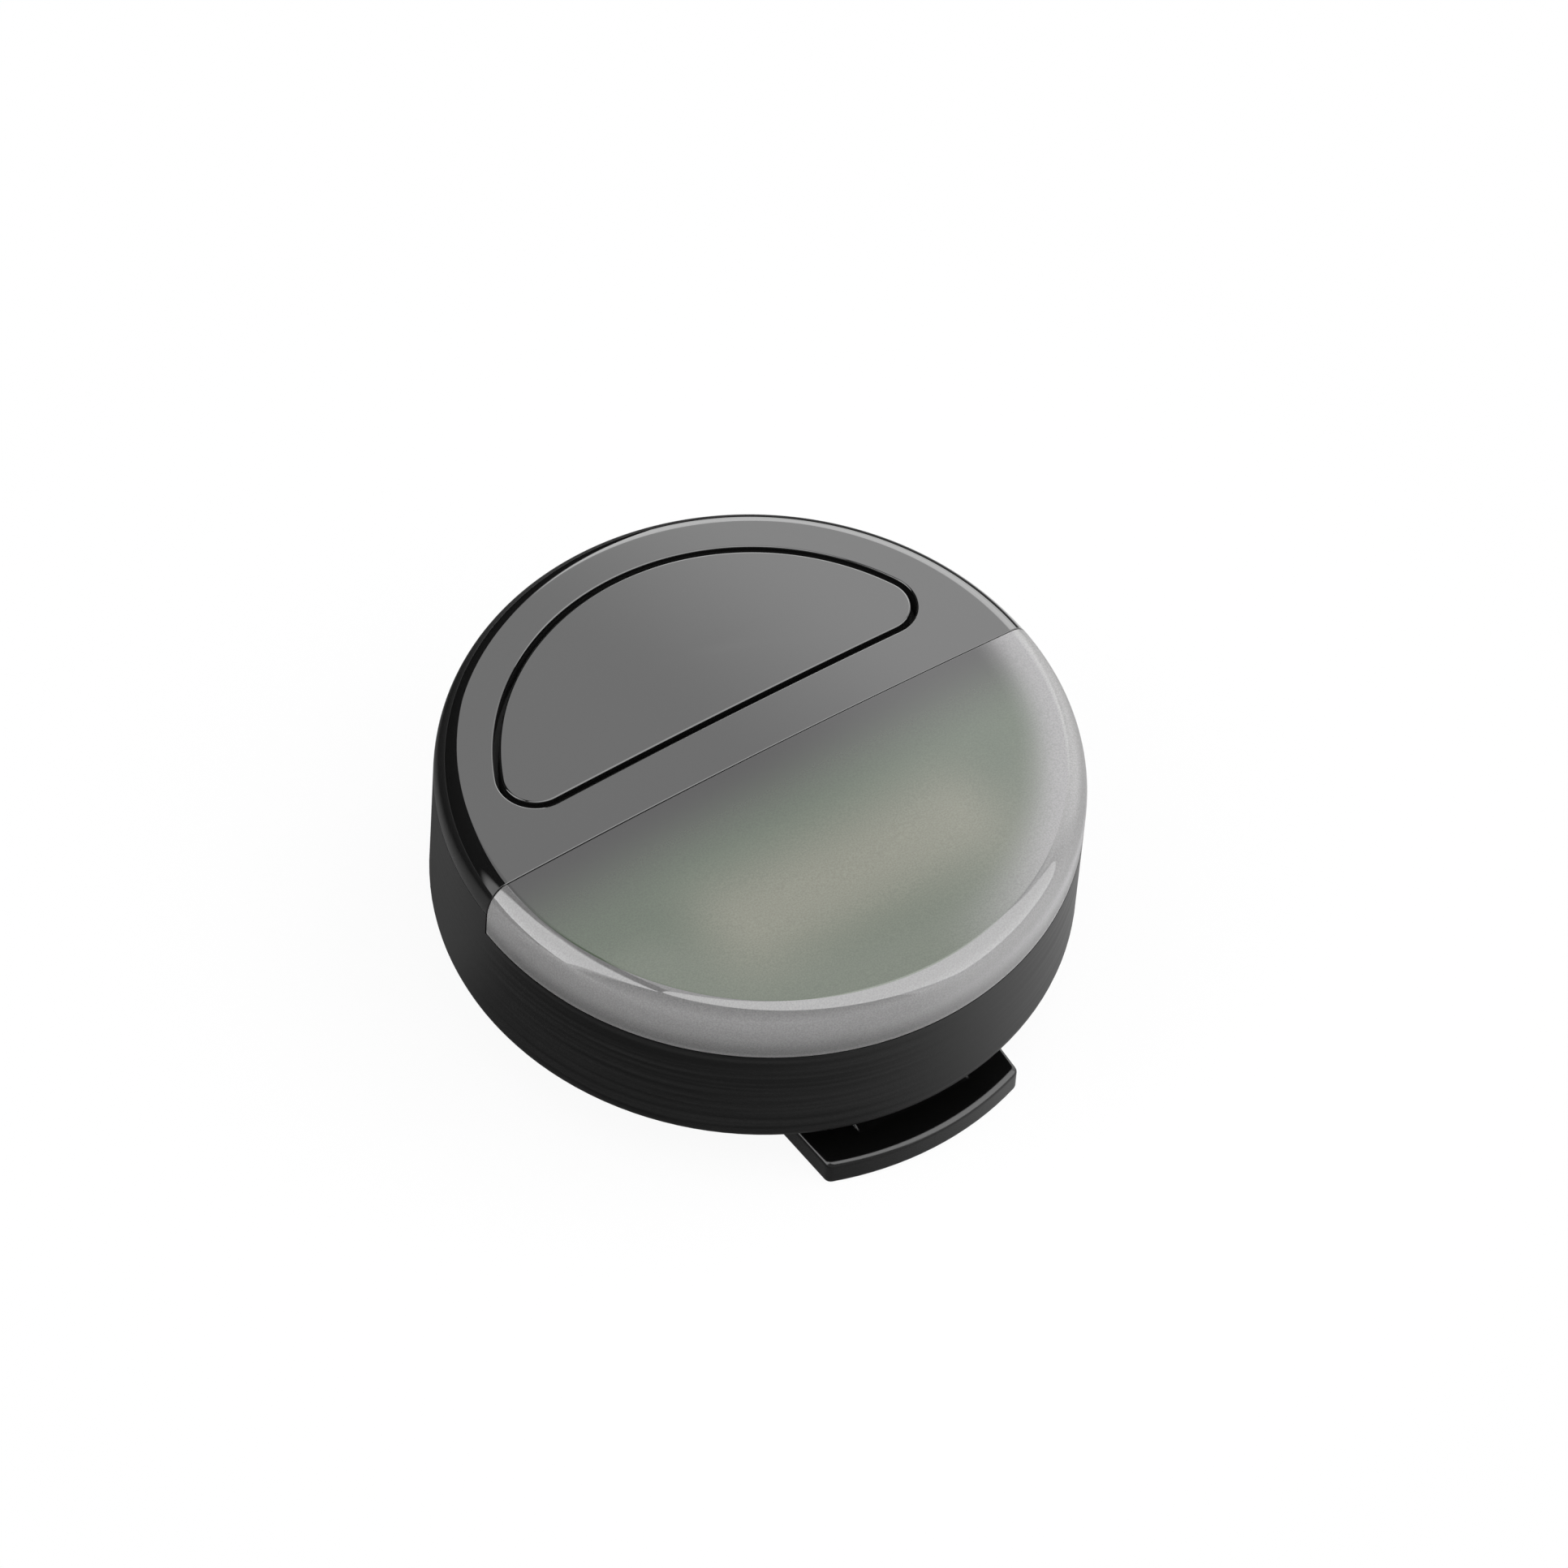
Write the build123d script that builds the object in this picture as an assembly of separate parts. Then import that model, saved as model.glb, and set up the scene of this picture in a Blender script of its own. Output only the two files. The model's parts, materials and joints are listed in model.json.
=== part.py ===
from build123d import *
from math import atan2, cos, degrees, pi, radians, sin, sqrt, tan
import os

# A round clip-on light. Half of its face is a black cover with a D-shaped push button, and the
# other half is a frosted lens. A sprung clip is hinged under the back.
# Millimetres. +Z points out of the face, +X runs along the line between cover and lens, and +Y
# points to the button. The origin is on the clip's flat outer face, under the body's centre.

# Round body
body_r = 20.0
wall_draft = 0.1
body_h = 12.7
back_round = 1.4
rim_w = 1.34
rim_drop = 2.2
crown = 0.5
back_t = 1.4
wall_upper_t = 1.6
wall_lower_t = 2.4
inner_round = 0.8
ledge_drop = 6.7

# Line between cover and lens
division_y = 0.15
seam = 0.12

# Front cover and lens
cover_t = 1.4
lens_t = 1.5
lens_bevel = 0.15
lens_skirt = 4.0
lip_t = 0.8
lip_clear = 0.1
tongue_reach = 0.8
tongue_t = 0.8
tongue_clear = 0.25
snap_reach = 0.3
snap_h = 0.9
snap_span = 14.0
snap_clear = 0.1
cover_snap_angles = (32.0, 60.0, 120.0, 148.0)
lens_snap_angles = (-30.0, -90.0, -150.0)

# Push button
button_line_y = 3.78
button_margin = 2.41
button_corner_r = 2.25
groove_w = 0.38
button_edge_r = 0.1
button_plate_t = 1.4
button_skirt_t = 1.4
flange_reach = 0.45
flange_t = 0.6
flange_gap = 0.1
button_travel = 0.4
post_r = 1.6
button_rib_t = 0.8

# Seal under the button and the frame that holds it
seal_t = 0.4
seal_gap = 0.1
seal_touch = 0.05
frame_w = 2.0

# Gasket
gasket_h = 0.8
gasket_w = 0.7

# Circuit board
board_clear = 0.3
board_t = 0.8
board_drop = 0.6
board_screw_gap = 0.3
rear_screw_angle = 42.0
front_screw_angle = -58.4
board_post_r = 1.4
screw_r = 0.7
screw_head_r = 1.2
screw_head_t = 0.9
screw_l = 3.6
screw_clear = 0.1
socket_w = 1.1
thread_clear = 0.02

# Push switch
switch_w = 4.5
switch_h = 2.0
switch_y = 9.3
plunger_r = 0.9
plunger_out = 0.5
plunger_in = 0.45
plunger_clear = 0.05

# Chips and coil
chip_w = 3.0
chip_t = 0.8
chip_angle = 55.6
chip_inset = 3.68
coil_w = 3.0
coil_t = 1.2
coil_inset = 3.0
chip_round = 0.3

# Charging socket
usb_w = 8.94
usb_h = 3.16
usb_l = 7.3
usb_wall = 0.3
usb_round = 1.3
usb_clear = 0.1
tongue_w = 6.7
tongue_h = 0.7
tongue_setback = 1.2
insert_l = 2.2

# Rubber flap over the charging socket
flap_t = 0.93
flap_half_w = 6.4
flap_half_h = 2.3
flap_floor_gap = 0.15
flap_side_gap = 0.12
flap_end_gap = 0.2
flap_hinge_x = 6.0
flap_hinge_in = 0.51
flap_bead_r = 0.45
flap_pivot_r = 0.33
flap_pivot_l = 0.6
flap_swing_gap = 0.35
plug_w = 7.8
plug_h = 2.0
plug_l = 1.55
nail_r = 1.3

# Battery
battery_w = 15.5
battery_corner_gap = 1.32
battery_post_gap = 0.3
battery_top_gap = 0.4
battery_side_flat = 0.8
foam_t = 0.4
foam_inset = 1.0
rib_lead_gap = 0.25
rib_t = 0.8
rib_gap = 0.15
rib_inset = 4.0
lead_d = 0.8
lead_pitch = 2.0
lead_out = 1.6
lead_rise = 1.55
lead_bend = 1.0

# Light engine
tray_gap = 0.3
tray_wall_t = 0.8
tray_floor_t = 0.8
tray_floor_rise = 1.3
tray_slope = 1.2
tray_corner_r = 1.5
led_y = -7.3
led_board_w = 5.0
led_board_t = 0.8
led_board_gap = 0.62
phosphor_margin = 1.5
phosphor_w = 2.6
phosphor_t = 0.5
dam_w = 0.7
dam_over = 0.1
contact_r = 0.4
contact_inset = 1.5
contact_clear = 0.1

# Clip
clip_gap = 2.3
clip_t = 1.9
clip_overhang = 0.25
clip_tip_half_w = 7.05
clip_flare = 2.65
clip_tab_setback = 2.7
clip_tip_corner = 0.5
clip_tab_corner = 2.5
clip_edge_r = 0.35
hinge_y = 10.0
hinge_z = 2.2
pin_r = 0.75
pin_clear = 0.05
pin_chamfer = 0.15
knuckle_r = 1.7
knuckle_w = 2.3
ear_t = 1.5
ear_r = 1.8
ear_in_x = 3.9
side_play = 0.15
window_half_l = 2.6
window_corner_r = 0.5
tooth_half_w = 4.0
tooth_setback = 2.25
tooth_ramp = 21.0
tooth_clear = 0.25
tooth_top_l = 0.6
grip_count = 4
grip_pitch = 1.1
grip_d = 0.25
grip_w = 0.5
grip_setback = 1.32
grip_margin = 5.0

# Plate that carries the clip
plate_margin = 0.3
plate_half_l = 4.0
plate_t = 0.8
plate_corner_r = 1.5
plate_clear = 0.1
plate_screw_gap = 0.1
plate_screw_r = 0.8
plate_screw_head_r = 1.45
plate_screw_head_t = 0.65
plate_screw_cap = 0.2
boss_r = 1.6
boss_gap = 1.4

# Clip spring
wire_d = 0.5
coil_r = 1.25
coil_turns = 4
coil_half_l = 2.4
upper_leg_l = 4.0
lower_leg_setback = 2.0
leg_channel_clear = 0.2
leg_seat_gap = 0.03
seat_side = 0.2
seat_l = 2.0


def polar(r, angle):
    """Place at a radius and an angle from +X, in degrees."""
    return r * cos(radians(angle)), r * sin(radians(angle))


# Heights, radii and places that follow
face_r = body_r - rim_w
button_arc_r = face_r - button_margin
clip_tip_r = body_r + clip_overhang
clip_tab_r = body_r - clip_tab_setback
plate_screw_x = ear_in_x + ear_t + plate_screw_head_r + plate_screw_gap
plate_half_w = plate_screw_x + plate_screw_head_r + plate_margin
back_z = clip_t + clip_gap
face_z = back_z + body_h
rim_z = face_z - rim_drop
base_r = body_r - wall_draft
crown_r = (face_r ** 2 + crown ** 2) / (2 * crown)
lens_edge_z = face_z - lens_skirt
floor_z = back_z + back_t
upper_in_r = body_r - wall_upper_t
lower_in_r = body_r - wall_lower_t
ledge_z = face_z - ledge_drop
board_r = lower_in_r - board_clear
lip_out_r = upper_in_r - lip_clear
lip_in_r = lip_out_r - lip_t
lip_z = ledge_z + gasket_h
cover_under_z = face_z - cover_t
lens_under_z = face_z - lens_t
board_z = ledge_z - board_drop
board_top_z = board_z + board_t
cover_side_y = division_y + seam / 2
lens_side_y = division_y - seam / 2
flange_top_z = cover_under_z - flange_gap
flange_z = flange_top_z - flange_t
plunger_top_z = board_top_z + switch_h + plunger_out
seal_z = plunger_top_z + seal_touch
seal_top_z = seal_z + seal_t
tray_floor_z = board_top_z + tray_floor_rise
led_z = tray_floor_z + tray_floor_t
usb_z = board_z - usb_h / 2
tall = 3 * body_r
frame_grow = groove_w / 2 + flange_reach + seal_gap + seal_t / 2
frame_in_r = button_arc_r + frame_grow - frame_w
tray_r = lip_in_r - tray_gap
tray_in_r = tray_r - tray_wall_t
tray_floor_r = tray_in_r - tray_slope
board_screw_rear = polar(frame_in_r - screw_head_r - board_screw_gap, rear_screw_angle)
board_screw_front = polar(tray_in_r - screw_head_r - board_screw_gap, front_screw_angle)
charger_chip_xy = polar(frame_in_r - chip_inset, chip_angle)
control_chip_xy = polar(frame_in_r - chip_inset, 180 - chip_angle)
coil_xy = (0, coil_inset - board_r)
battery_front_y = board_screw_front[1] + board_post_r + battery_post_gap
battery_y = battery_front_y + battery_w / 2
battery_l = 2 * sqrt((lower_in_r - battery_corner_gap) ** 2 - battery_front_y ** 2)
battery_t = board_z - floor_z - foam_t - battery_top_gap
battery_round = (battery_t - battery_side_flat) / 2
led_board_l = 2 * (sqrt(tray_floor_r ** 2 - (led_board_w / 2 - led_y) ** 2) - led_board_gap)
phosphor_l = led_board_l - 2 * phosphor_margin
contact_x = led_board_l / 2 - contact_inset
lead_z = board_z - lead_rise
rib_top_z = lead_z - lead_d / 2 - rib_lead_gap
boss_top_z = board_z - boss_gap
plate_screw_top_z = boss_top_z - plate_screw_cap
tooth_front_y = tooth_setback - clip_tip_r
lower_leg_l = clip_tab_r - hinge_y - lower_leg_setback
clip_hole_in_x = ear_in_x + ear_t + side_play
knuckle_out_x = clip_hole_in_x + side_play + knuckle_w
pin_half_l = knuckle_out_x


def wall_r(z):
    """Outer radius of the drafted wall at a height."""
    share = (rim_z - z) / (rim_z - back_z - back_round)
    return body_r - wall_draft * min(max(share, 0), 1)


def crown_z(r):
    """Height of the crowned face at a radius."""
    return face_z + crown - (crown_r - sqrt(crown_r ** 2 - r ** 2))


def ring(outer, inner, z0, z1):
    tube = Cylinder(outer, z1 - z0) - Cylinder(inner, z1 - z0)
    return Pos(0, 0, (z0 + z1) / 2) * tube


def disc(r, z0, z1, x=0, y=0):
    return Pos(x, y, (z0 + z1) / 2) * Cylinder(r, z1 - z0)


def block(x0, x1, y0, y1, z0, z1):
    return Pos((x0 + x1) / 2, (y0 + y1) / 2, (z0 + z1) / 2) * Box(x1 - x0, y1 - y0, z1 - z0)


def slab(sketch, z0, z1):
    return extrude(Pos(0, 0, z0) * sketch, z1 - z0)


def side_cylinder(r, x0, x1, y, z):
    return Pos((x0 + x1) / 2, y, z) * Rot(0, 90, 0) * Cylinder(r, x1 - x0)


def both_sides(shape):
    return shape + mirror(shape, about=Plane.YZ)


def rear_half(y):
    return block(-tall, tall, y, tall, -tall, tall)


def front_half(y):
    return block(-tall, tall, -tall, y, -tall, tall)


def half_moon(grow, line_y=button_line_y, arc_r=button_arc_r, corner_r=button_corner_r):
    """D outline, straight towards the lens, grown or shrunk evenly from its middle line."""
    y0 = line_y - grow
    r = arc_r + grow
    corner = corner_r + grow
    centre_y = y0 + corner
    centre_x = sqrt((r - corner) ** 2 - centre_y ** 2)
    lean = atan2(centre_y, centre_x)
    end = (r * cos(lean), r * sin(lean))
    middle = (lean - pi / 2) / 2
    bend = (centre_x + corner * cos(middle), centre_y + corner * sin(middle))
    outline = [
        Line((-centre_x, y0), (centre_x, y0)),
        ThreePointArc((centre_x, y0), bend, end),
        ThreePointArc(end, (0, r), (-end[0], end[1])),
        ThreePointArc((-end[0], end[1]), (-bend[0], bend[1]), (-centre_x, y0)),
    ]
    return make_face(outline)


def body_form():
    """Whole outer form: drafted wall, rounded back edge, elliptical rim and crowned face."""
    back_bend = sin(pi / 4) * back_round
    crown_mid = face_r / 2
    outline = [
        Line((0, face_z + crown), (0, back_z)),
        Line((0, back_z), (base_r - back_round, back_z)),
        ThreePointArc(
            (base_r - back_round, back_z),
            (base_r - back_round + back_bend, back_z + back_round - back_bend),
            (base_r, back_z + back_round),
        ),
        Line((base_r, back_z + back_round), (body_r, rim_z)),
        EllipticalCenterArc((face_r, rim_z), body_r - face_r, rim_drop, 0, arc_size=90),
        ThreePointArc((face_r, face_z), (crown_mid, crown_z(crown_mid)), (0, face_z + crown)),
    ]
    return revolve(Plane.XZ * make_face(outline), Axis.Z)


def snap(angle, z, grow):
    """Wedge that stands out of a lip, or with a growth the notch that takes it."""
    r0 = lip_out_r - lip_t / 2
    r1 = lip_out_r + snap_reach + grow
    profile = Polyline(
        (r0, z - grow),
        (r1 - snap_reach, z - grow),
        (r1, z + snap_h / 3 - grow),
        (r1, z + snap_h / 2 + grow),
        (r1 - snap_reach, z + snap_h + grow),
        (r0, z + snap_h + grow),
        close=True,
    )
    span = snap_span + 2 * degrees(grow / lip_out_r)
    wedge = revolve(Plane.XZ * make_face(profile), Axis.Z, revolution_arc=span)
    return Rot(0, 0, angle - span / 2) * wedge


cover_snap_z = lens_edge_z - snap_h / 2
lens_snap_z = lip_z + (lens_edge_z - lip_z - snap_h) / 2


def front_piece(outer, edge_z, under_z, snap_angles, snap_z):
    """A full front: face, skirt down to edge_z, and the lip that enters the housing."""
    face = outer & block(-tall, tall, -tall, tall, edge_z, tall)
    face -= disc(lip_in_r, edge_z - 1, under_z)
    face += ring(lip_out_r, lip_in_r, lip_z, edge_z + lip_t)
    for angle in snap_angles:
        face += snap(angle, snap_z, 0)
    return face


def front_cover(outer):
    cover = front_piece(outer, rim_z, cover_under_z, cover_snap_angles, cover_snap_z)
    cover &= rear_half(cover_side_y)
    opening = slab(half_moon(groove_w / 2), cover_under_z - 1, tall)
    cover -= opening
    rim = cover.edges().filter_by(lambda e: e.bounding_box().min.Z > face_z and in_groove(e))
    return fillet(rim, button_edge_r)


def in_groove(edge):
    """True for an edge round the button, and false for one along the lens or the rim."""
    box = edge.bounding_box()
    return box.min.Y > cover_side_y + groove_w and box.max.X < button_arc_r + groove_w


def on_division(edge):
    """True for an edge in the lens's side face, along the cover."""
    box = edge.bounding_box()
    return abs(box.min.Y - lens_side_y) < seam / 2 and abs(box.max.Y - lens_side_y) < seam / 2


def lens(outer):
    glass = front_piece(outer, lens_edge_z, lens_under_z, lens_snap_angles, lens_snap_z)
    glass &= front_half(lens_side_y)
    face_edges = glass.edges().filter_by(lambda e: on_division(e) and e.bounding_box().max.Z > face_z)
    glass = chamfer(face_edges, lens_bevel)
    reach = sqrt(lip_in_r ** 2 - (cover_side_y + tongue_reach) ** 2) - tongue_clear
    root = lens_side_y - tongue_reach
    return glass + block(
        -reach, reach, root, cover_side_y + tongue_reach, lens_under_z - tongue_t, lens_under_z
    )


def button_cap(outer):
    body = slab(half_moon(-groove_w / 2), flange_z, tall) & outer
    rim = body.edges().filter_by(lambda e: e.bounding_box().min.Z > face_z)
    body = fillet(rim, button_edge_r)
    body += slab(half_moon(groove_w / 2 + flange_reach), flange_z, flange_top_z)
    hollow_z = face_z - button_plate_t + crown / 2
    body -= slab(half_moon(-groove_w / 2 - button_skirt_t), flange_z - 1, hollow_z)
    body += disc(post_r, seal_top_z + seal_touch, hollow_z, 0, switch_y)
    inside = half_moon(-groove_w / 2 - button_skirt_t / 2)
    ribs = Pos(0, switch_y) * (Rectangle(tall, button_rib_t) + Rectangle(button_rib_t, tall))
    return body + slab(inside & ribs, flange_z, hollow_z)


def button_seal():
    """Silicone tray: its rim stands round the button's flange, up to the cover."""
    grow = groove_w / 2 + flange_reach + seal_gap
    tray = slab(half_moon(grow + seal_t), seal_z, cover_under_z)
    return tray - slab(half_moon(grow), seal_top_z, tall)


def seal_retainer():
    """Frame on the circuit board that presses the seal's rim up against the cover."""
    frame = slab(half_moon(frame_grow), board_top_z, seal_z)
    return frame - slab(half_moon(frame_grow - frame_w), board_top_z - 1, seal_z + 1)


def flap_plan(front_r, back_r, half_w, half_h):
    """Curved bar that follows the wall, between two radii."""
    bar = ring(front_r, back_r, usb_z - half_h, usb_z + half_h)
    return bar & block(-half_w, half_w, 0, tall, 0, tall)


flap_out_r = wall_r(usb_z)
flap_in_r = flap_out_r - flap_t
pocket_r = flap_in_r - flap_floor_gap
flap_hinge_r = flap_out_r - flap_hinge_in
flap_hinge_y = sqrt(flap_hinge_r ** 2 - flap_hinge_x ** 2)
usb_mouth_y = sqrt(pocket_r ** 2 - (usb_w / 2) ** 2) - usb_clear


def rounded_bar(width, height, corner, y0, y1):
    """Bar along Y with a rounded section, centred on the charging socket."""
    section = RectangleRounded(width, height, min(corner, height / 2 - 0.01))
    return extrude(Plane((0, y1, usb_z), x_dir=(1, 0, 0), z_dir=(0, -1, 0)) * section, y1 - y0)


def housing(outer):
    shell = outer & block(-tall, tall, -tall, tall, 0, rim_z)
    shell -= block(-tall, tall, -tall, cover_side_y, lens_edge_z, tall)
    bore = disc(lower_in_r, floor_z, tall)
    bore = fillet(bore.edges().group_by(Axis.Z)[0], inner_round)
    shell -= bore + disc(upper_in_r, ledge_z, tall)
    for angle in cover_snap_angles:
        shell -= snap(angle, cover_snap_z, snap_clear)
    for angle in lens_snap_angles:
        shell -= snap(angle, lens_snap_z, snap_clear)
    shell += battery_ribs()
    for x, y in (board_screw_rear, board_screw_front):
        shell += both_sides(disc(board_post_r, floor_z - back_t / 2, board_z, x, y))
        shell -= both_sides(disc(screw_r + thread_clear, board_top_z - screw_l, board_z + 1, x, y))
    shell += both_sides(disc(boss_r, floor_z - back_t / 2, boss_top_z, plate_screw_x, hinge_y))
    shell -= slab(plate_outline(plate_clear), back_z - 1, back_z + plate_t)
    hole_top = plate_screw_top_z + plate_clear
    shell -= both_sides(disc(plate_screw_r + thread_clear, back_z, hole_top, plate_screw_x, hinge_y))
    return shell - charging_opening()


def charging_opening():
    """Hole for the socket, the flap's pocket, its two pivot holes and a notch for a nail."""
    inner_y = usb_mouth_y - usb_l - usb_clear
    cut = rounded_bar(usb_w + 2 * usb_clear, usb_h + 2 * usb_clear, usb_round + usb_clear, inner_y, tall)
    half_h = flap_half_h + flap_side_gap
    pocket = flap_plan(tall, pocket_r, tall, half_h)
    cut += pocket & block(-flap_half_w - flap_swing_gap, flap_half_w + flap_end_gap, 0, tall, 0, tall)
    pivot_h = flap_half_h + flap_pivot_l + flap_side_gap
    pivot_r = flap_pivot_r + plunger_clear
    cut += disc(pivot_r, usb_z - pivot_h, usb_z + pivot_h, -flap_hinge_x, flap_hinge_y)
    nail_y = sqrt(wall_r(usb_z) ** 2 - flap_half_w ** 2)
    return cut + Pos(flap_half_w + flap_end_gap, nail_y, usb_z) * Sphere(nail_r)


def port_flap():
    flap = flap_plan(flap_out_r, flap_in_r, flap_half_w, flap_half_h)
    flap -= block(-tall, -flap_hinge_x, 0, tall, 0, tall)
    flap += disc(flap_bead_r, usb_z - flap_half_h, usb_z + flap_half_h, -flap_hinge_x, flap_hinge_y)
    pivot_h = flap_half_h + flap_pivot_l
    flap += disc(flap_pivot_r, usb_z - pivot_h, usb_z + pivot_h, -flap_hinge_x, flap_hinge_y)
    plug = rounded_bar(plug_w, plug_h, plug_h, flap_in_r - plug_l, flap_in_r + flap_t / 2)
    return flap + plug


def battery_ribs():
    """Two low walls on the back that keep the cell in its place."""
    half_l = battery_l / 2 - rib_inset
    y0 = battery_y - battery_w / 2 - rib_gap
    y1 = battery_y + battery_w / 2 + rib_gap
    front = block(-half_l, half_l, y0 - rib_t, y0, floor_z - back_t / 2, rib_top_z)
    rear = block(-half_l, half_l, y1, y1 + rib_t, floor_z - back_t / 2, rib_top_z)
    return front + rear


def gasket():
    middle = (upper_in_r + lower_in_r) / 2
    return ring(middle + gasket_w / 2, middle - gasket_w / 2, ledge_z, lip_z)


def circuit_board():
    board = disc(board_r, board_z, board_top_z)
    for x, y in (board_screw_rear, board_screw_front):
        board -= both_sides(disc(screw_r + screw_clear, board_z - 1, board_top_z + 1, x, y))
    return board


def socket_cut(width, z0, z1, x, y):
    return Pos(x, y) * slab(RegularPolygon(width / 2, 6), z0, z1)


def board_screw(x, y):
    head_top = board_top_z + screw_head_t
    screw = disc(screw_head_r, board_top_z, head_top, x, y)
    screw += disc(screw_r, board_top_z - screw_l, board_top_z, x, y)
    return screw - socket_cut(socket_w, head_top - screw_head_t / 2, head_top + 1, x, y)


def board_screws():
    screws = [board_screw(x, y) for x, y in (board_screw_rear, board_screw_front)]
    mirrored = [mirror(screw, about=Plane.YZ) for screw in screws]
    return Compound(children=screws + mirrored)


def tact_switch():
    top = board_top_z + switch_h
    half = switch_w / 2
    body = block(-half, half, switch_y - half, switch_y + half, board_top_z, top)
    body = fillet(body.edges().filter_by(Axis.Z), chip_round)
    well = plunger_in + button_travel + plunger_clear
    return body - disc(plunger_r + plunger_clear, top - well, top + 1, 0, switch_y)


def switch_plunger():
    top = board_top_z + switch_h
    return disc(plunger_r, top - plunger_in, plunger_top_z, 0, switch_y)


def chip(width, place, z0, z1):
    x, y = place
    half = width / 2
    body = block(x - half, x + half, y - half, y + half, z0, z1)
    return fillet(body.edges().filter_by(Axis.Z), chip_round)


def usb_shell():
    y0 = usb_mouth_y - usb_l
    shell = rounded_bar(usb_w, usb_h, usb_round, y0, usb_mouth_y)
    inside = rounded_bar(usb_w - 2 * usb_wall, usb_h - 2 * usb_wall, usb_round - usb_wall, y0 - 1, tall)
    return shell - inside


def usb_insert():
    y0 = usb_mouth_y - usb_l
    core = rounded_bar(usb_w - 2 * usb_wall, usb_h - 2 * usb_wall, usb_round - usb_wall, y0, y0 + insert_l)
    tip_y = usb_mouth_y - tongue_setback
    return core + rounded_bar(tongue_w, tongue_h, tongue_h / 2, y0 + insert_l / 2, tip_y)


def battery():
    half_l = battery_l / 2
    y0 = battery_y - battery_w / 2
    z0 = floor_z + foam_t
    cell = block(-half_l, half_l, y0, y0 + battery_w, z0, z0 + battery_t)
    return fillet(cell.edges().filter_by(Axis.X), battery_round)


def battery_foam():
    half_l = battery_l / 2 - foam_inset
    half_w = battery_w / 2 - battery_round - rib_gap
    return block(-half_l, half_l, battery_y - half_w, battery_y + half_w, floor_z, floor_z + foam_t)


def battery_lead(x):
    """One lead: straight out of the cell's end, then up to the board."""
    y0 = battery_y + battery_w / 2
    y1 = y0 + lead_out
    path = FilletPolyline((x, y0, lead_z), (x, y1, lead_z), (x, y1, board_z), radius=lead_bend)
    start = Plane((x, y0, lead_z), x_dir=(1, 0, 0), z_dir=(0, 1, 0))
    return sweep(start * Circle(lead_d / 2), path=path)


def battery_leads():
    return Compound(children=[battery_lead(-lead_pitch / 2), battery_lead(lead_pitch / 2)])


def tray_outline(grow):
    """D outline of the reflector, straight towards the button."""
    outline = half_moon(
        grow,
        line_y=tongue_reach - lens_side_y + tray_gap / 2,
        arc_r=tray_r,
        corner_r=tray_corner_r + tray_wall_t + tray_slope,
    )
    return Rot(0, 0, 180) * outline


def reflector():
    """White tray: sloping walls above its floor, and a skirt down to the circuit board."""
    tray = slab(tray_outline(0), board_top_z, lens_under_z)
    tray -= slab(tray_outline(-tray_wall_t), board_top_z - 1, tray_floor_z)
    well = loft([
        Pos(0, 0, led_z) * tray_outline(-tray_wall_t - tray_slope),
        Pos(0, 0, lens_under_z) * tray_outline(-tray_wall_t),
    ])
    tray -= well
    return tray - both_sides(disc(contact_r + contact_clear, tray_floor_z - 1, led_z + 1, contact_x, led_y))


def led_board():
    plate = Pos(0, led_y) * RectangleRounded(led_board_l, led_board_w, 1)
    return slab(plate, led_z, led_z + led_board_t)


def led_phosphor():
    strip = Pos(0, led_y) * SlotOverall(phosphor_l, phosphor_w)
    z0 = led_z + led_board_t
    return slab(strip, z0, z0 + phosphor_t)


def led_dam():
    outer = Pos(0, led_y) * SlotOverall(phosphor_l + 2 * dam_w, phosphor_w + 2 * dam_w)
    inner = Pos(0, led_y) * SlotOverall(phosphor_l, phosphor_w)
    z0 = led_z + led_board_t
    return slab(outer - inner, z0, z0 + phosphor_t + dam_over)


def led_contacts():
    pin = disc(contact_r, board_top_z, led_z, contact_x, led_y)
    return Compound(children=[pin, mirror(pin, about=Plane.YZ)])


def plate_outline(grow):
    outline = RectangleRounded(2 * plate_half_w, 2 * plate_half_l, plate_corner_r)
    return Pos(0, hinge_y) * offset(outline, grow)


def clip_ear():
    """Ear of the bracket: round about the pin, straight up to the plate."""
    x1 = ear_in_x + ear_t
    ear = side_cylinder(ear_r, ear_in_x, x1, hinge_y, hinge_z)
    return ear + block(ear_in_x, x1, hinge_y - ear_r, hinge_y + ear_r, hinge_z, back_z + plate_t / 2)


def clip_bracket():
    plate = slab(plate_outline(0), back_z, back_z + plate_t)
    plate += both_sides(clip_ear())
    leg_z = hinge_z + coil_r
    seat_x = coil_half_l
    seat_half = wire_d / 2 + seat_side
    seat_y1 = hinge_y + upper_leg_l - wire_d
    seat_z = leg_z + wire_d / 2 + leg_seat_gap
    plate += block(seat_x - seat_half, seat_x + seat_half, seat_y1 - seat_l, seat_y1, seat_z, back_z)
    plate -= side_cylinder(pin_r + pin_clear, -tall, tall, hinge_y, hinge_z)
    hole = disc(plate_screw_r + screw_clear, 0, tall, plate_screw_x, hinge_y)
    sink = Pos(plate_screw_x, hinge_y, back_z + plate_screw_head_t / 2) * Cone(
        plate_screw_head_r, plate_screw_r, plate_screw_head_t
    )
    return plate - both_sides(hole + sink)


def bracket_screw():
    head_z = back_z
    screw = Pos(plate_screw_x, hinge_y, head_z + plate_screw_head_t / 2) * Cone(
        plate_screw_head_r, plate_screw_r, plate_screw_head_t
    )
    screw += disc(plate_screw_r, head_z + plate_screw_head_t, plate_screw_top_z, plate_screw_x, hinge_y)
    return screw - socket_cut(socket_w, head_z - 1, head_z + plate_screw_head_t / 2, plate_screw_x, hinge_y)


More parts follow.
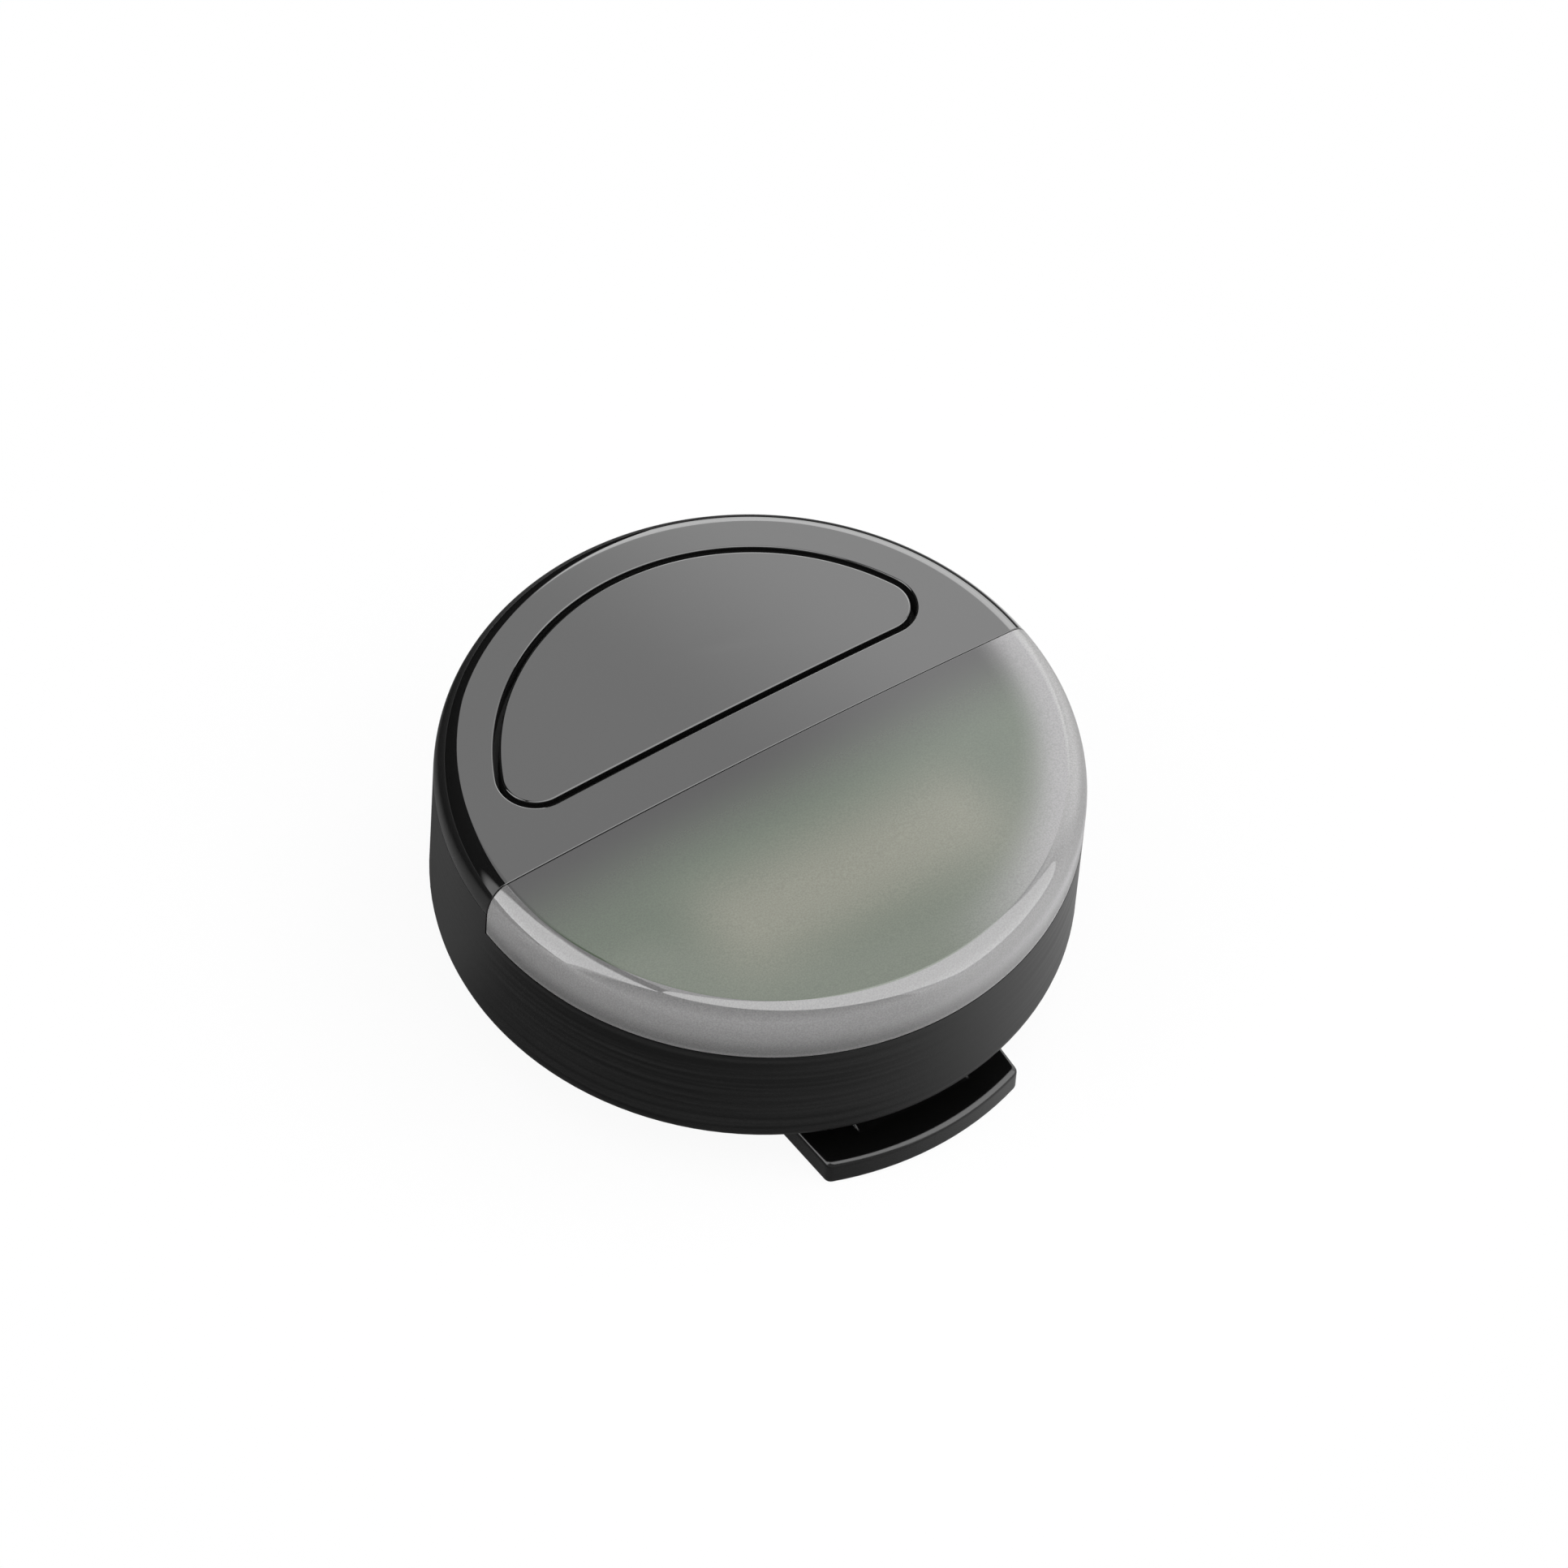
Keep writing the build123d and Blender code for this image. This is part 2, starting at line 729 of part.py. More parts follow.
def bracket_screws():
    screw = bracket_screw()
    return Compound(children=[screw, mirror(screw, about=Plane.YZ)])


def clip_half_w(y):
    tip_corner_y = -sqrt(clip_tip_r ** 2 - clip_tip_half_w ** 2)
    return clip_tip_half_w + (y - tip_corner_y) * tan(radians(clip_flare))


def clip_outline():
    """Tapered strip: its tip follows the body's rim and its thumb tab is rounded."""
    strip = Polygon(
        (-clip_half_w(-tall), -tall),
        (clip_half_w(-tall), -tall),
        (clip_half_w(tall), tall),
        (-clip_half_w(tall), tall),
        align=None,
    )
    tip = strip & Circle(clip_tip_r) & Pos(0, -body_r) * Rectangle(tall, 2 * body_r)
    tab = strip & Circle(clip_tab_r) & Pos(0, body_r) * Rectangle(tall, 2 * body_r)
    outline = tip + tab
    corners = outline.vertices().sort_by(Axis.Y)
    outline = fillet(corners[:2], clip_tip_corner)
    corners = outline.vertices().sort_by(Axis.Y)
    return fillet(corners[-2:], clip_tab_corner)


def clip_tooth():
    """Ramp that lets cloth slide in, with a steep back that keeps it in."""
    top_z = back_z - tooth_clear
    peak_y = tooth_front_y + (top_z - clip_t) / tan(radians(tooth_ramp))
    profile = Polygon(
        (tooth_front_y, clip_t),
        (peak_y, top_z),
        (peak_y + tooth_top_l, top_z),
        (peak_y + 2 * tooth_top_l, clip_t),
        (peak_y + 2 * tooth_top_l, clip_t / 2),
        (tooth_front_y, clip_t / 2),
        align=None,
    )
    return extrude(Plane.YZ * profile, tooth_half_w, both=True)


def clip_knuckle():
    x0 = clip_hole_in_x + side_play
    knuckle = side_cylinder(knuckle_r, x0, knuckle_out_x, hinge_y, hinge_z)
    foot = block(x0, knuckle_out_x, hinge_y - knuckle_r, hinge_y + knuckle_r, clip_t / 2, hinge_z)
    return knuckle + foot


def clip_arm():
    arm = slab(clip_outline(), 0, clip_t)
    rims = arm.edges().group_by(Axis.Z)
    arm = fillet(rims[0] + rims[-1], clip_edge_r)
    window = RectangleRounded(2 * clip_hole_in_x, 2 * window_half_l, window_corner_r)
    arm -= slab(Pos(0, hinge_y) * window, -1, clip_t + 1)
    arm += clip_tooth()
    arm += both_sides(clip_knuckle())
    arm -= side_cylinder(pin_r, -tall, tall, hinge_y, hinge_z)
    leg_z = hinge_z - coil_r - wire_d / 2 - leg_seat_gap
    channel_w = wire_d / 2 + leg_channel_clear
    arm -= block(
        -coil_half_l - channel_w,
        -coil_half_l + channel_w,
        hinge_y,
        hinge_y + lower_leg_l + leg_channel_clear,
        leg_z,
        tall,
    )
    for k in range(grip_count):
        y = clip_tab_r - grip_setback - k * grip_pitch
        half = clip_half_w(y) - grip_margin
        arm -= block(-half, half, y - grip_w / 2, y + grip_w / 2, -1, grip_d)
    return arm


def hinge_pin():
    pin = side_cylinder(pin_r, -pin_half_l, pin_half_l, hinge_y, hinge_z)
    return chamfer(pin.edges(), pin_chamfer)


def coil_point(turn):
    """Point on the coil's middle line and its direction, from the bottom and away from the tab."""
    pitch = 2 * coil_half_l / (coil_turns + 0.5)
    a = 2 * pi * turn
    place = Vector(-coil_half_l + pitch * turn, hinge_y - coil_r * sin(a), hinge_z - coil_r * cos(a))
    heading = Vector(pitch / (2 * pi), -coil_r * cos(a), coil_r * sin(a))
    return place, heading.normalized()


def coil_arcs():
    """Quarter turns, each as two tangent arcs."""
    arcs = []
    quarters = 4 * coil_turns + 2
    for k in range(quarters):
        start, t0 = coil_point(k / 4)
        end, t1 = coil_point((k + 1) / 4)
        if k == 0:
            t0 = Vector(0, -1, 0)
        if k == quarters - 1:
            t1 = Vector(0, 1, 0)
        span = end - start
        both = t0 + t1
        bend = 2 * (1 - t0.dot(t1))
        reach = (sqrt(span.dot(both) ** 2 + bend * span.dot(span)) - span.dot(both)) / bend
        first = start + t0 * reach
        second = end - t1 * reach
        middle = (first + second) * 0.5
        arcs.append(TangentArc(start, middle, tangent=t0))
        arcs.append(TangentArc(middle, end, tangent=second - first))
    return arcs


def clip_spring():
    """Torsion spring: both straight legs point to the thumb tab and push it off the body."""
    low, _ = coil_point(0)
    high, _ = coil_point(coil_turns + 0.5)
    low_end = low + Vector(0, lower_leg_l, 0)
    high_end = high + Vector(0, upper_leg_l, 0)
    lines = [Line(low_end, low)] + coil_arcs() + [Line(high, high_end)]
    path = Wire([line.edge() for line in lines])
    start = Plane(low_end, x_dir=(1, 0, 0), z_dir=(0, -1, 0))
    return sweep(start * Circle(wire_d / 2), path=path)


def coil_gap():
    """Least gap between one turn's wire and the next, measured on points."""
    steps = 48
    count = int((coil_turns + 0.5) * steps)
    points = [coil_point(k / steps)[0] for k in range(count + 1)]
    near = min(
        (points[j] - points[i]).length
        for i in range(count + 1)
        for j in range(i + steps // 2, count + 1)
    )
    return near - wire_d


def main():
    os.makedirs("parts", exist_ok=True)
    outer = body_form()
    top_chip_z = board_top_z + chip_t
    nodes = {
        "housing": housing(outer),
        "front_cover": front_cover(outer),
        "lens": lens(outer),
        "button_cap": button_cap(outer),
        "button_seal": button_seal(),
        "seal_retainer": seal_retainer(),
        "gasket": gasket(),
        "circuit_board": circuit_board(),
        "board_screws": board_screws(),
        "tact_switch": tact_switch(),
        "switch_plunger": switch_plunger(),
        "control_chip": chip(chip_w, control_chip_xy, board_top_z, top_chip_z),
        "charger_chip": chip(chip_w, charger_chip_xy, board_top_z, top_chip_z),
        "inductor": chip(coil_w, coil_xy, board_z - coil_t, board_z),
        "usb_shell": usb_shell(),
        "usb_insert": usb_insert(),
        "port_flap": port_flap(),
        "battery": battery(),
        "battery_foam": battery_foam(),
        "battery_leads": battery_leads(),
        "reflector": reflector(),
        "led_board": led_board(),
        "led_phosphor": led_phosphor(),
        "led_dam": led_dam(),
        "led_contacts": led_contacts(),
        "clip_bracket": clip_bracket(),
        "bracket_screws": bracket_screws(),
        "clip_arm": clip_arm(),
        "hinge_pin": hinge_pin(),
        "clip_spring": clip_spring(),
    }
    for name, shape in nodes.items():
        export_step(shape, "parts/" + name + ".step")
    print("least gap between the spring's turns", round(coil_gap(), 3))


main()
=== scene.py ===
import json
from math import atan2, cos, hypot, pi, radians, sin, sqrt

import bmesh
import bpy
from bpy.props import FloatProperty, FloatVectorProperty, IntProperty, PointerProperty
from mathutils import Matrix, Vector


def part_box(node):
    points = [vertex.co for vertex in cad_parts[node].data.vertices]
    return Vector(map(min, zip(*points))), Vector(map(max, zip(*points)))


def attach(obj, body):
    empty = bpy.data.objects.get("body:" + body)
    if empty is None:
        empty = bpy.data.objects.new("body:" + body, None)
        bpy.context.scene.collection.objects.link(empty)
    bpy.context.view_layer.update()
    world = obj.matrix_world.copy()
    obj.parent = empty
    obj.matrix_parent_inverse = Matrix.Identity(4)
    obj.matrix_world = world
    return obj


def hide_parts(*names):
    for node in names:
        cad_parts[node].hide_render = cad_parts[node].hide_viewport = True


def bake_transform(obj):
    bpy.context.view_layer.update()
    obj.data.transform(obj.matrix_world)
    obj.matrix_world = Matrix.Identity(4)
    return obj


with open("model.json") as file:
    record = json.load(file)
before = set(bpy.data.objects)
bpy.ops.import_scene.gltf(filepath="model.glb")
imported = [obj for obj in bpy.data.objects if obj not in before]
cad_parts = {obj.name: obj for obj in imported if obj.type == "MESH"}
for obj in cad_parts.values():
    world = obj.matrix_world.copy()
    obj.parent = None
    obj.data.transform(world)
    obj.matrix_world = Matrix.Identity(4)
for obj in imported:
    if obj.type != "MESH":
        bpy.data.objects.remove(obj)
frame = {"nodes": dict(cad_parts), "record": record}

bl_info = {
    "name": "Round clip-on light",
    "version": (1, 0, 0),
    "blender": (4, 5, 0),
    "location": "3D View > Sidebar > Light",
    "description": "Builds the looks of a round clip-on light round its fixed frame",
    "category": "Add Mesh",
}

# Lengths are in millimetres here, and MM turns them into the scene's metres.
# +Z points out of the face, +X runs along the line between cover and lens, +Y to the button.
MM = 0.001


def edge_of(node, end, axis):
    """One side of a frame node's box, in millimetres."""
    return getattr(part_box(node)[end], axis) / MM


def middle_of(node, axis):
    """Middle of a frame node's box, in millimetres."""
    return (edge_of(node, 0, axis) + edge_of(node, 1, axis)) / 2


# Heights and radii that the frame gives
BODY_R = -edge_of("lens", 0, "y")
RIM_Z = edge_of("housing", 1, "z")
BACK_Z = edge_of("housing", 0, "z")
LIP_Z = edge_of("lens", 0, "z")
POST_Z = edge_of("button_cap", 0, "z")
PIN_Z = middle_of("hinge_pin", "z")
PIN_Y = middle_of("hinge_pin", "y")
SEAL_Z = edge_of("button_seal", 0, "z")
SEAL_TOP_Z = edge_of("button_seal", 1, "z")

# Outer form: a crowned face, an elliptical rim and a wall with a little draft
RIM_W = 1.34
RIM_DROP = 2.2
CROWN = 0.5
WALL_DRAFT = 0.1
BACK_ROUND = 1.4
FACE_R = BODY_R - RIM_W
FACE_Z = RIM_Z + RIM_DROP
CROWN_R = (FACE_R ** 2 + CROWN ** 2) / (2 * CROWN)

# The rim's line has this many points and this step on the flats beside it.
# Each point is averaged with so many neighbours on both sides, which eases the bends.
RIM_POINTS = 140
RIM_STEP = 0.02
RIM_EASE = 12

# How near a point has to be to count as on the outer form: under the face, inside the wall,
# and as a share of the rim's ellipse
ON_FACE = 0.03
ON_WALL = 0.05
ON_RIM = 0.98

# Facets of a rounded edge, and where the flat beside it begins, as a share of the rounding
EDGE_STEPS = 4
PAST_EDGE = 1.3

# How near a cut a point has to be to count as on it, when the cut is made and when it is closed
CUT_DIST = 1e-6
ON_CUT = 1e-4

# Steepest turn that is still shaded smooth, in degrees, on moulded pieces and on the wire
CREASE = 40
WIRE_CREASE = 60

# Cover and lens. Rows are loops of facets: on the cover as shares of the way from the opening to the rim,
# on the lens by radius, and on its skirt by height over its foot.
DIVISION_Y = 0.15
SEAM = 0.024
COVER_Y = DIVISION_Y + SEAM / 2
LENS_Y = DIVISION_Y - SEAM / 2
COVER_T = 1.4
COVER_ROWS = (0, 0.1, 0.25, 0.4, 0.55, 0.7, 0.85, 0.97)
COVER_RISE = 0.1
LENS_T = 1.5
LENS_ROWS = (3, 6, 9, 12, 15, 17)
LENS_ROW_GAP = 0.05
LENS_INNER_R = 6
LENS_SKIRT = 4.0
SKIRT_RISE = 0.7
SKIRT_ROWS = (0.5, 0.2)
LIP_OUT_R = 18.3
LIP_IN_R = 17.5
TONGUE_T = 0.8
TONGUE_Y0 = -0.71
TONGUE_Y1 = 1.01
TONGUE_X = 17.22

# D outline of the button's groove: straight side, arc, rounded corners, a point well inside, and facets
MOON_LINE_Y = 3.78
MOON_ARC_R = FACE_R - 2.41
MOON_CORNER_R = 2.25
MOON_MIDDLE = (0, 9.3)
MOON_LINE_STEPS = 60
MOON_CORNER_STEPS = 20
MOON_ARC_STEPS = 150

# Button in its groove
GROOVE_W = 0.38
FLANGE_REACH = 0.45
FLANGE_T = 0.6
FLANGE_GAP = 0.1
BUTTON_SKIRT = 1.4
BUTTON_TOP_T = 1.15
BUTTON_ROWS = (0.2, 0.4, 0.6, 0.8, 0.95, 1)
POST_R = 1.6

# Seal under the button: a rim that its frame holds, and a floor that goes down with the button. Its wall
# and the end of its rim are given by how far they lie outside the groove's middle line.
SEAL_T = 0.4
SEAL_IN = 0.74
SEAL_HOLD = -1.06
SEAL_SLIT = 0.04

# Spring: its wire, coil and legs, with the steps of each
WIRE_R = 0.25
WIRE_SIDES = 16
WIRE_END_T = 0.25
WIRE_END_R = 0.72
COIL_R = 1.25
COIL_TURNS = 4.5
COIL_STEPS = 40
COIL_HALF_L = 2.4
UPPER_LEG = 4.0
UPPER_STEPS = 6
LOWER_LEG = 5.3
LOWER_STEPS = 8

# Floor: its half size, its facets along a side, and how far it lies under the clip
FLOOR_SIZE = 4000
FLOOR_STEPS = 8
FLOOR_GAP = 0.01

# The camera sees through the floor, but for a small share near the light that keeps the shadow
CLEAR_R = (24, 60)
CLEAR_LEAST = 0.93

# Floor as reflections see it: painted shade round the light, towards the camera and behind the light, and
# painted light to the right and at the left rear
SHADE_R = (12, 100)
SHADE_LEAN = 0.6
SHADE_LEAST = 0.12
FLOOR_RIGHT_LIGHT_X = (-8, 14)
FLOOR_RIGHT_LIGHT = 0.3
FRONT_WAY = (-0.59, -0.81)
FRONT_WEDGE = (0.45, 0.8)
FRONT_LEAST = 0.4
LEFT_REAR_X = (-14, -24)
LEFT_REAR_Y = (2, 10)
LEFT_REAR_LIGHT = 0.15
BEHIND_Y = (16, 40)
BEHIND_LEAN = 0.42
BEHIND_SPAN = (-3, 8)
BEHIND_LEAST = 0.1

# Camera: focal length and sensor width in millimetres, and how far it sees in metres
FOCAL_L = 451.7
SENSOR_W = 36
SIGHT = 20

# Level panels: heights and rounded corners in metres, and corners as shares of the height.
# The card's glow rises over a stretch of X in millimetres.
ROUND_STEPS = 6
OVERHEAD_H = 0.7
OVERHEAD_ROUND = 0.06
OVERHEAD = (
    (-0.56, -0.2),
    (0.47, 0.45),
    (0.63, 0.15),
    (0.84, -0.02),
    (1.16, -0.2),
    (1.65, -0.42),
    (1.21, -1.22),
    (0.13, -1.66),
)
CARD_H = 0.66
REAR_CARD = ((0.295, 0.397), (0.69, 0.397), (0.69, 0.87), (0.295, 0.87))
CARD_RISE = (295, 400)

# Panels that face the light: headings and heights of their corners in degrees, distances in metres.
# The left box fades out along its fading corners. Fades are in millimetres.
LEFT_FAR = 0.8
LEFT_BOX = ((-71, 58), (-91, 1))
LEFT_FADING = ((-126, 1), (-139, 48), (-172, 66))
LEFT_FADE = 80
WALL_FAR = 1.1
RIGHT_WALL = ((82, 1), (118, 1), (118, 60), (92, 56))
RIGHT_FAR = 0.62
RIGHT_ROUND = 0.05
RIGHT_BOX = ((2, 34), (15, 19), (27, 1), (66, 1), (68, 8), (73, 24), (80, 40), (70, 48), (30, 48))
STRIP_FAR = 1.0
REAR_STRIP = ((118, 9), (152, 14), (152, 53), (118, 53))
STRIP_RISE = (840, 700)
STRIP_FALL = (600, 330)
DIM_FAR = 1.2
DIM_FRONT = ((-88, 1), (14, 1), (10, 22), (-28, 60), (-70, 64), (-80, 30))

# Black flags behind the light and in the gap over the left box, placed in the same way
FLAG_FAR = 1.0
FLAGS = {
    "flag_rear": ((150, 1), (242, 1), (226, 52), (195, 68), (155, 55)),
    "flag_low": ((119, 1), (152, 1), (152, 13), (119, 8)),
    "flag_gap": ((-60, 56), (-76, 62), (-150, 74), (-190, 66), (-200, 58), (170, 58), (150, 60), (180, 78)),
}


class LightShape(bpy.types.PropertyGroup):
    """Fine sizes of the visible shells."""

    cover_edge: FloatProperty(
        name="Cover edge", description="Rounding of the cover's edges", default=0.06 * MM, unit="LENGTH"
    )
    groove_edge: FloatProperty(
        name="Groove edge",
        description="Rounding of the edges round the button",
        default=0.1 * MM,
        unit="LENGTH",
    )
    lens_edge: FloatProperty(
        name="Lens edge",
        description="Rounding of the lens along the cover",
        default=0.06 * MM,
        unit="LENGTH",
    )
    skirt_edge: FloatProperty(
        name="Skirt edge",
        description="Rounding of the skirt's lower edge",
        default=0.12 * MM,
        unit="LENGTH",
    )
    round_steps: IntProperty(
        name="Rim steps", description="Facets from the face to the wall", default=60, min=12, max=140
    )
    turn_steps: IntProperty(
        name="Steps round", description="Facets round the body", default=288, min=48, max=720
    )


class LightFinish(bpy.types.PropertyGroup):
    """Colours of the visible finishes."""

    gloss_black: FloatVectorProperty(
        name="Gloss black",
        description="Cover, button and clip",
        subtype="COLOR",
        default=(0.006, 0.006, 0.006),
    )
    satin_black: FloatVectorProperty(
        name="Satin black", description="Housing", subtype="COLOR", default=(0.005, 0.005, 0.005)
    )
    lens_shade: FloatVectorProperty(
        name="Lens shade",
        description="Dark part of the frosted lens",
        subtype="COLOR",
        default=(0.064, 0.085, 0.057),
    )
    lens_glow: FloatVectorProperty(
        name="Lens glow",
        description="Strip seen through the lens",
        subtype="COLOR",
        default=(0.149, 0.153, 0.116),
    )
    lens_rim: FloatVectorProperty(
        name="Lens rim",
        description="Thick edge of the lens",
        subtype="COLOR",
        default=(0.21, 0.208, 0.208),
    )
    # Painted light on the right side of the face by its rim
    lens_side_light: FloatVectorProperty(
        name="Lens side",
        description="Right side of the face by its rim",
        subtype="COLOR",
        default=(0.25, 0.245, 0.25),
    )
    # Painted light on the right side of the lens rim and skirt
    lens_right_light: FloatVectorProperty(
        name="Lens right",
        description="Right side of the lens skirt",
        subtype="COLOR",
        default=(0.305, 0.3, 0.305),
    )


class LightStage(bpy.types.PropertyGroup):
    """Camera and lamps."""

    heading: FloatProperty(
        name="Heading",
        description="Camera heading from +Y to +X",
        default=radians(37.91),
        subtype="ANGLE",
    )
    pitch: FloatProperty(
        name="Pitch", description="Camera looks down by this", default=radians(51.76), subtype="ANGLE"
    )
    roll: FloatProperty(name="Roll", description="Camera roll", default=radians(4.76), subtype="ANGLE")
    distance: FloatProperty(
        name="Distance", description="From the camera to the face", default=1.19966, unit="LENGTH"
    )
    shift_right: FloatProperty(
        name="Right", description="Camera moved to its right", default=1.329 * MM, unit="LENGTH"
    )
    shift_down: FloatProperty(
        name="Down", description="Camera moved down in its view", default=1.577 * MM, unit="LENGTH"
    )
    softbox: FloatProperty(name="Softbox", description="Radiance of the softboxes", default=2.55, min=0)
    wall: FloatProperty(
        name="Wall", description="Radiance of the pale wall to the right", default=1.5, min=0
    )
    strip_top: FloatProperty(
        name="Strip top", description="Radiance of the rear strip's top edge", default=2, min=0
    )
    strip: FloatProperty(
        name="Strip", description="Radiance of the rear strip's upper part", default=3.6, min=0
    )
    strip_low: FloatProperty(
        name="Strip low", description="Radiance of the rear strip's foot", default=2.4, min=0
    )
    card_left: FloatProperty(
        name="Card left", description="Radiance of the card's left part", default=1.3, min=0
    )
    card_right: FloatProperty(
        name="Card right", description="Radiance of the card's right part", default=1.88, min=0
    )
    dim: FloatProperty(
        name="Dim", description="Radiance of the room behind the camera", default=0.28, min=0
    )
    fill: FloatProperty(name="Fill", description="Even light from all sides", default=0.12, min=0)


def shape():
    """Sizes that the panel sets."""
    return bpy.context.scene.light_shape


def finish():
    """Colours that the panel sets."""
    return bpy.context.scene.light_finish


def studio():
    """Camera and lamp settings that the panel sets."""
    return bpy.context.scene.light_stage


# Geometry


def crown_z(r):
    """Height of the crowned face at a radius."""
    return FACE_Z + CROWN - (CROWN_R - sqrt(CROWN_R ** 2 - r ** 2))


def rim_start():
    """Angle on the rim's ellipse where its slope is the crown's."""
    slope = FACE_R / sqrt(CROWN_R ** 2 - FACE_R ** 2)
    return atan2(slope * RIM_W, RIM_DROP)


def wall_r(z):
    """Radius of the wall at a height."""
    share = (RIM_Z - z) / (RIM_Z - BACK_Z - BACK_ROUND)
    return BODY_R - WALL_DRAFT * min(max(share, 0), 1)


def outer_normal(x, y, z):
    """Normal of the outer form at a point on it, or None for a point inside."""
    r = hypot(x, y)
    if r <= FACE_R:
        return Vector((0, 0, 1)) if z > crown_z(r) - ON_FACE else None
    if z < RIM_Z:
        return Vector((x / r, y / r, 0)) if r > wall_r(z) - ON_WALL else None
    across = (r - FACE_R) / RIM_W
    up = (z - RIM_Z) / RIM_DROP
    if hypot(across, up) < ON_RIM:
        return None
    side = across / RIM_W
    return Vector((side * x / r, side * y / r, up / RIM_DROP)).normalized()


def circle(r, z, steps):
    """Ring of points round the light's upright axis."""
    turns = [2 * pi * k / steps for k in range(steps)]
    return [(r * cos(a), r * sin(a), z) for a in turns]


def mean(values):
    """Average of a list."""
    return sum(values) / len(values)


def rim_profile(steps, low):
    """Radius and height from the face over the rim and down to a height, with eased bends."""
    first = rim_start()
    turns = [first + (pi / 2 - first) * k / RIM_POINTS for k in range(RIM_POINTS + 1)]
    inward = [FACE_R - RIM_STEP * k for k in range(RIM_POINTS // 2, 0, -1)]
    down = [RIM_Z - RIM_STEP * k for k in range(1, RIM_POINTS // 2)]
    line = [(r, crown_z(r)) for r in inward]
    line += [(FACE_R + RIM_W * sin(a), RIM_Z + RIM_DROP * cos(a)) for a in turns]
    line += [(wall_r(z), z) for z in down]
    eased = []
    for k in range(RIM_EASE, len(line) - RIM_EASE, len(line) // steps):
        near = line[k - RIM_EASE : k + RIM_EASE + 1]
        eased.append((mean([r for r, _ in near]), mean([z for _, z in near])))
    return [(r, z) for r, z in eased if z >= low]


def rounding_turns():
    """Angles of a rounded edge, from 0 to a quarter turn."""
    return [pi / 2 * k / EDGE_STEPS for k in range(EDGE_STEPS + 1)]


def rounded_corner(r, z, radius):
    """Lower outer corner of a shell: from the wall, round to its underside."""
    turns = rounding_turns()
    return [(r - radius + radius * cos(a), z + radius - radius * sin(a)) for a in turns]


def arc(middle, r, start, end, steps):
    """Points along an arc, without its last one."""
    turns = [start + (end - start) * k / steps for k in range(steps)]
    return [(middle[0] + r * cos(a), middle[1] + r * sin(a)) for a in turns]


def moon(grow):
    """D outline, straight towards the lens, grown or shrunk evenly from the groove's middle line."""
    low = MOON_LINE_Y - grow
    r = MOON_ARC_R + grow
    corner = MOON_CORNER_R + grow
    y = low + corner
    x = sqrt((r - corner) ** 2 - y ** 2)
    lean = atan2(y, x)
    line = [(-x + 2 * x * k / MOON_LINE_STEPS, low) for k in range(MOON_LINE_STEPS)]
    right = arc((x, y), corner, -pi / 2, lean, MOON_CORNER_STEPS)
    over = arc((0, 0), r, lean, pi - lean, MOON_ARC_STEPS)
    left = arc((-x, y), corner, pi - lean, 3 * pi / 2, MOON_CORNER_STEPS)
    return line + right + over + left


def moon_loop(grow, height):
    """D outline at a height, or on the face less a depth where height is a function."""
    return [(x, y, height(hypot(x, y)) if callable(height) else height) for x, y in moon(grow)]


def cast(points, r, height):
    """Points where rays from the button's middle through an outline meet a circle."""
    middle_x, middle_y = MOON_MIDDLE
    out = []
    for x, y, _ in points:
        size = hypot(x - middle_x, y - middle_y)
        dx, dy = (x - middle_x) / size, (y - middle_y) / size
        along = middle_x * dx + middle_y * dy
        far = sqrt(along ** 2 + r ** 2 - middle_x ** 2 - middle_y ** 2) - along
        out.append((middle_x + far * dx, middle_y + far * dy, height))
    return out


def between(inner, outer, share, height):
    """Loop between two loops, set on the face."""
    out = []
    for a, b in zip(inner, outer):
        x = a[0] + (b[0] - a[0]) * share
        y = a[1] + (b[1] - a[1]) * share
        out.append((x, y, height(hypot(x, y))))
    return out


def skin(loops, closed=False):
    """Mesh of quads between loops. A loop of one point is a pole."""
    mesh = bmesh.new()
    rows = [[mesh.verts.new(p) for p in loop] for loop in loops]
    pairs = list(zip(rows, rows[1:])) + ([(rows[-1], rows[0])] if closed else [])
    for a, b in pairs:
        count = max(len(a), len(b))
        for k in range(count):
            n = (k + 1) % count
            if len(a) == 1:
                mesh.faces.new((a[0], b[k], b[n]))
            elif len(b) == 1:
                mesh.faces.new((a[k], a[n], b[0]))
            else:
                mesh.faces.new((a[k], a[n], b[n], b[k]))
    return mesh


def slice_at(mesh, y, keep, clear):
    """Cut a mesh by an upright plane along X. With clear, one side is taken away."""
    parts = mesh.verts[:] + mesh.edges[:] + mesh.faces[:]
    bmesh.ops.bisect_plane(
        mesh, geom=parts, dist=CUT_DIST, plane_co=(0, y, 0), plane_no=(0, -keep, 0), clear_outer=clear
    )


def cap(mesh, y):
    """Close the open edge that a cut has left."""
    rims = [e for e in mesh.edges if e.is_boundary and all(abs(v.co.y - y) < ON_CUT for v in e.verts)]
    bmesh.ops.triangle_fill(mesh, use_beauty=True, use_dissolve=True, edges=rims)


def cut_half(mesh, y, keep, radius):
    """Keep one half of a shell and round its outer edge along the cut."""
    slice_at(mesh, y, keep, True)
    reaches = [radius * (1 - cos(a)) for a in rounding_turns()[1:]] + [radius * PAST_EDGE]
    for reach in reaches:
        slice_at(mesh, y + keep * reach, keep, False)
    for vert in mesh.verts:
        deep = (vert.co.y - y) * keep
        normal = outer_normal(*vert.co) if deep < radius else None
        if normal:
            vert.co -= normal * (radius - sqrt(max(radius ** 2 - (radius - deep) ** 2, 0)))
    cap(mesh, y)


def block(mesh, low, high):
    """Add a closed box between its lowest and highest corners."""
    spans = list(zip(low, high))
    corners = [mesh.verts.new((x, y, z)) for z in spans[2] for y in spans[1] for x in spans[0]]
    for side in ((0, 1, 3, 2), (4, 6, 7, 5), (0, 4, 5, 1), (2, 3, 7, 6), (0, 2, 6, 4), (1, 5, 7, 3)):
        mesh.faces.new([corners[k] for k in side])


